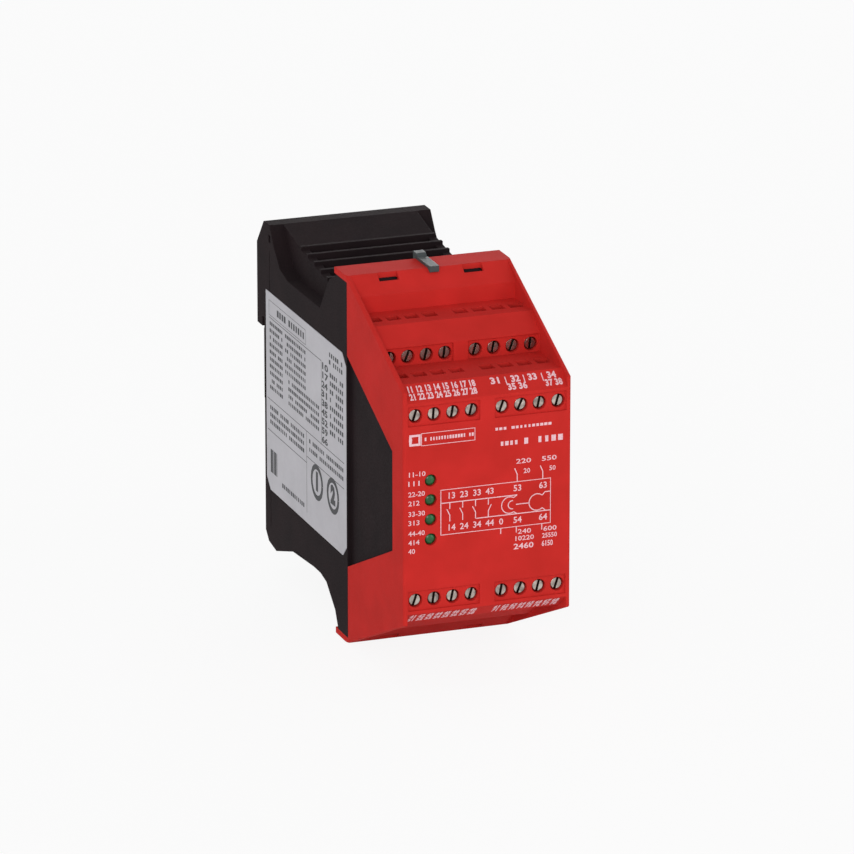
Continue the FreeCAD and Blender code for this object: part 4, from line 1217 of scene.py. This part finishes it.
@dataclass
class StatusLights:
    """The four green indicators with domed lenses."""

    dome_mm: float = 0.8
    rings: int = 8
    sides: int = 32

    def build(self) -> None:
        """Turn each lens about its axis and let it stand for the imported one."""
        for place in range(1, 5):
            node = f"status_led_{place}"
            piece = finished_piece(f"{node}_lens", self.lens(node), "module", 40.0)
            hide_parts(node)

    def lens(self, node: str) -> Mesh:
        """The domed lens of one indicator.

        Args:
            node: the indicator's node.

        Returns:
            The lens's mesh, in place.
        """
        low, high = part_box(node)
        radius = (high.x - low.x) / 2
        dome = self.dome_mm * MM
        profile = [
            (radius * math.sin(turn), dome * (1 - math.cos(turn)))
            for turn in (math.pi / 2 * ring / self.rings for ring in range(1, self.rings + 1))
        ]
        profile.append((radius, high.y - low.y))
        shape = bmesh.new()
        tip = shape.verts.new((0.0, 0.0, 0.0))
        rings = [
            [
                shape.verts.new((reach * math.cos(turn), depth, reach * math.sin(turn)))
                for turn in (math.tau * side / self.sides for side in range(self.sides))
            ]
            for reach, depth in profile
        ]
        for side in range(self.sides):
            after = (side + 1) % self.sides
            shape.faces.new((tip, rings[0][side], rings[0][after]))
            for inner, outer in zip(rings, rings[1:]):
                shape.faces.new((inner[side], outer[side], outer[after], inner[after]))
        shape.faces.new(rings[-1])
        bmesh.ops.recalc_face_normals(shape, faces=shape.faces)
        mesh = mesh_of(shape, node)
        mesh.transform(Matrix.Translation(((low.x + high.x) / 2, low.y, (low.z + high.z) / 2)))
        mesh.materials.append(material_of(Finish.GREEN_LENS))
        return mesh


@dataclass
class InnerWorks:
    """What stands inside: the clamp strips, cages, bars, boards and components."""

    def build(self) -> None:
        """Dress the inner nodes."""
        finishes = {
            "terminal_strip": Finish.DARK_STRIP,
            "clamp_cages": Finish.ZINC,
            "contact_bars": Finish.TINNED,
            "terminal_board": Finish.BOARD,
            "logic_board": Finish.BOARD,
            "safety_relay": Finish.RELAY_CASE,
            "supply_transformer": Finish.POTTING,
            "smoothing_capacitor": Finish.SLEEVE,
            "board_headers": Finish.HEADER,
        }
        for node in frame["nodes"]:
            for start, finish in finishes.items():
                if node.startswith(start):
                    dress(node, material_of(finish))


# ------------------------------------------------------------------ stage


@dataclass
class Stage:
    """The pale floor, the soft lamps, the white surroundings and the camera."""

    azimuth_deg: float = -20.0
    elevation_deg: float = 17.7
    distance_m: float = 1.8
    focal_mm: float = 293.0
    aim_m: tuple[float, float, float] = (0.0033, -0.055, 0.0009)
    sensor_mm: float = 36.0
    clip_m: Pair = (0.1, 30.0)
    surroundings: float = 0.42
    floor_white: float = 0.9
    floor_reach_m: float = 6.0
    # each lamp's name, place in metres, side in metres and power in watts
    lamps: tuple[tuple[str, tuple[float, float, float], float, float], ...] = (
        ("key", (-0.9, -1.95, 0.75), 1.1, 19.5),
        ("fill", (1.5, -1.5, 0.5), 1.4, 9.0),
        ("left", (-1.9, -0.6, 0.2), 1.2, 6.0),
        ("back", (1.3, 1.7, 0.08), 1.4, 30.0),
        ("top", (0.1, 0.3, 1.8), 1.2, 1.0),
    )

    def build(self) -> None:
        """Build the floor, the lamps, the world and the camera."""
        self.floor()
        self.world()
        self.light()
        self.camera()

    def seen_directly(self, tree: NodeTree) -> NodeSocket:
        """Whether a ray comes from the camera, a mirror or glass."""
        path = add_node(tree, "ShaderNodeLightPath")
        seen = path.outputs["Is Camera Ray"]
        for ray in ("Is Glossy Ray", "Is Transmission Ray"):
            pair = {0: seen, 1: path.outputs[ray]}
            seen = add_node(tree, "ShaderNodeMath", pair, operation="MAXIMUM").outputs[0]
        return seen

    def floor(self) -> None:
        """A white floor that keeps the object's shadow and is clear from below."""
        low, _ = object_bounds()
        mesh = bpy.data.meshes.new("floor")
        reach = self.floor_reach_m
        corners = [(-reach, -reach, 0), (reach, -reach, 0), (reach, reach, 0), (-reach, reach, 0)]
        mesh.from_pydata(corners, [], [(0, 1, 2, 3)])
        mesh.transform(Matrix.Translation((0.0, 0.0, low.z)))
        floor = new_object("floor", mesh)
        material = bpy.data.materials.new("paper_white_matt")
        tree = clean_tree(material)
        paper = add_node(tree, "ShaderNodeBsdfDiffuse", {"Color": linear("#F4F4F4")})
        white = add_node(tree, "ShaderNodeEmission", {"Color": (1, 1, 1, 1), "Strength": 1.0})
        pair = {0: self.seen_directly(tree), 1: self.floor_white}
        share = add_node(tree, "ShaderNodeMath", pair, operation="MULTIPLY")
        mix = add_node(tree, "ShaderNodeMixShader", {0: share, 1: paper, 2: white})
        side = add_node(tree, "ShaderNodeNewGeometry").outputs["Backfacing"]
        clear = add_node(tree, "ShaderNodeBsdfTransparent")
        sided = add_node(tree, "ShaderNodeMixShader", {0: side, 1: mix, 2: clear})
        add_node(tree, "ShaderNodeOutputMaterial", {"Surface": sided})
        mesh.materials.append(material)
        floor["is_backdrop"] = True

    def world(self) -> None:
        """Soft light from all round, seen as white."""
        world = bpy.data.worlds.new("soft_white_room")
        bpy.context.scene.world = world
        tree = clean_tree(world)
        span = {"Value": self.seen_directly(tree), "To Min": self.surroundings, "To Max": 1.0}
        strength = add_node(tree, "ShaderNodeMapRange", span)
        inputs = {"Color": (1, 1, 1, 1), "Strength": strength}
        light = add_node(tree, "ShaderNodeBackground", inputs)
        add_node(tree, "ShaderNodeOutputWorld", {"Surface": light})

    def stand(self, name: str, data: ID, place: Vector, along: Vector) -> Object:
        """Stand a lamp or a camera at a place, looking along a direction.

        Args:
            name: its name.
            data: the lamp or the camera.
            place: where it stands, in metres.
            along: the direction.

        Returns:
            Its object.
        """
        added = new_object(name, data)
        added.location = place
        added.rotation_euler = along.to_track_quat("-Z", "Y").to_euler()
        return added

    def light(self) -> None:
        """The soft lamps, each square and aimed at the module."""
        for name, place, size, power in self.lamps:
            data = bpy.data.lights.new(name, "AREA")
            data.size = size
            data.energy = power
            self.stand(name, data, Vector(place), Vector(self.aim_m) - Vector(place))

    def camera(self) -> None:
        """A long lens from the upper left of the front."""
        data = bpy.data.cameras.new("camera")
        data.lens = self.focal_mm
        data.sensor_width = self.sensor_mm
        data.clip_start, data.clip_end = self.clip_m
        azimuth = math.radians(self.azimuth_deg)
        elevation = math.radians(self.elevation_deg)
        level = math.cos(elevation)
        back = Vector((math.sin(azimuth) * level, -math.cos(azimuth) * level, math.sin(elevation)))
        place = Vector(self.aim_m) + back * self.distance_m
        bpy.context.scene.camera = self.stand("camera", data, place, -back)


def main() -> None:
    """Build every sub-assembly in order, then the stage."""
    logging.basicConfig(level=logging.INFO, format="%(name)s: %(message)s")
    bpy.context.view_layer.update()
    bpy.context.scene.view_settings.view_transform = "Standard"
    TREES.update(
        printed_lines=printed_line_tree(),
        dash_rows=dash_rows_tree(),
        clamp_screw=clamp_screw_tree(),
        coil_spring=coil_tree(),
    )
    for assembly in (
        FrontCover(),
        RearHousing(),
        RatingLabel(),
        ClampScrews(),
        StatusLights(),
        InnerWorks(),
        Stage(),
    ):
        LOG.info("building %s", type(assembly).__name__)
        assembly.build()


if __name__ == "__main__":
    main()
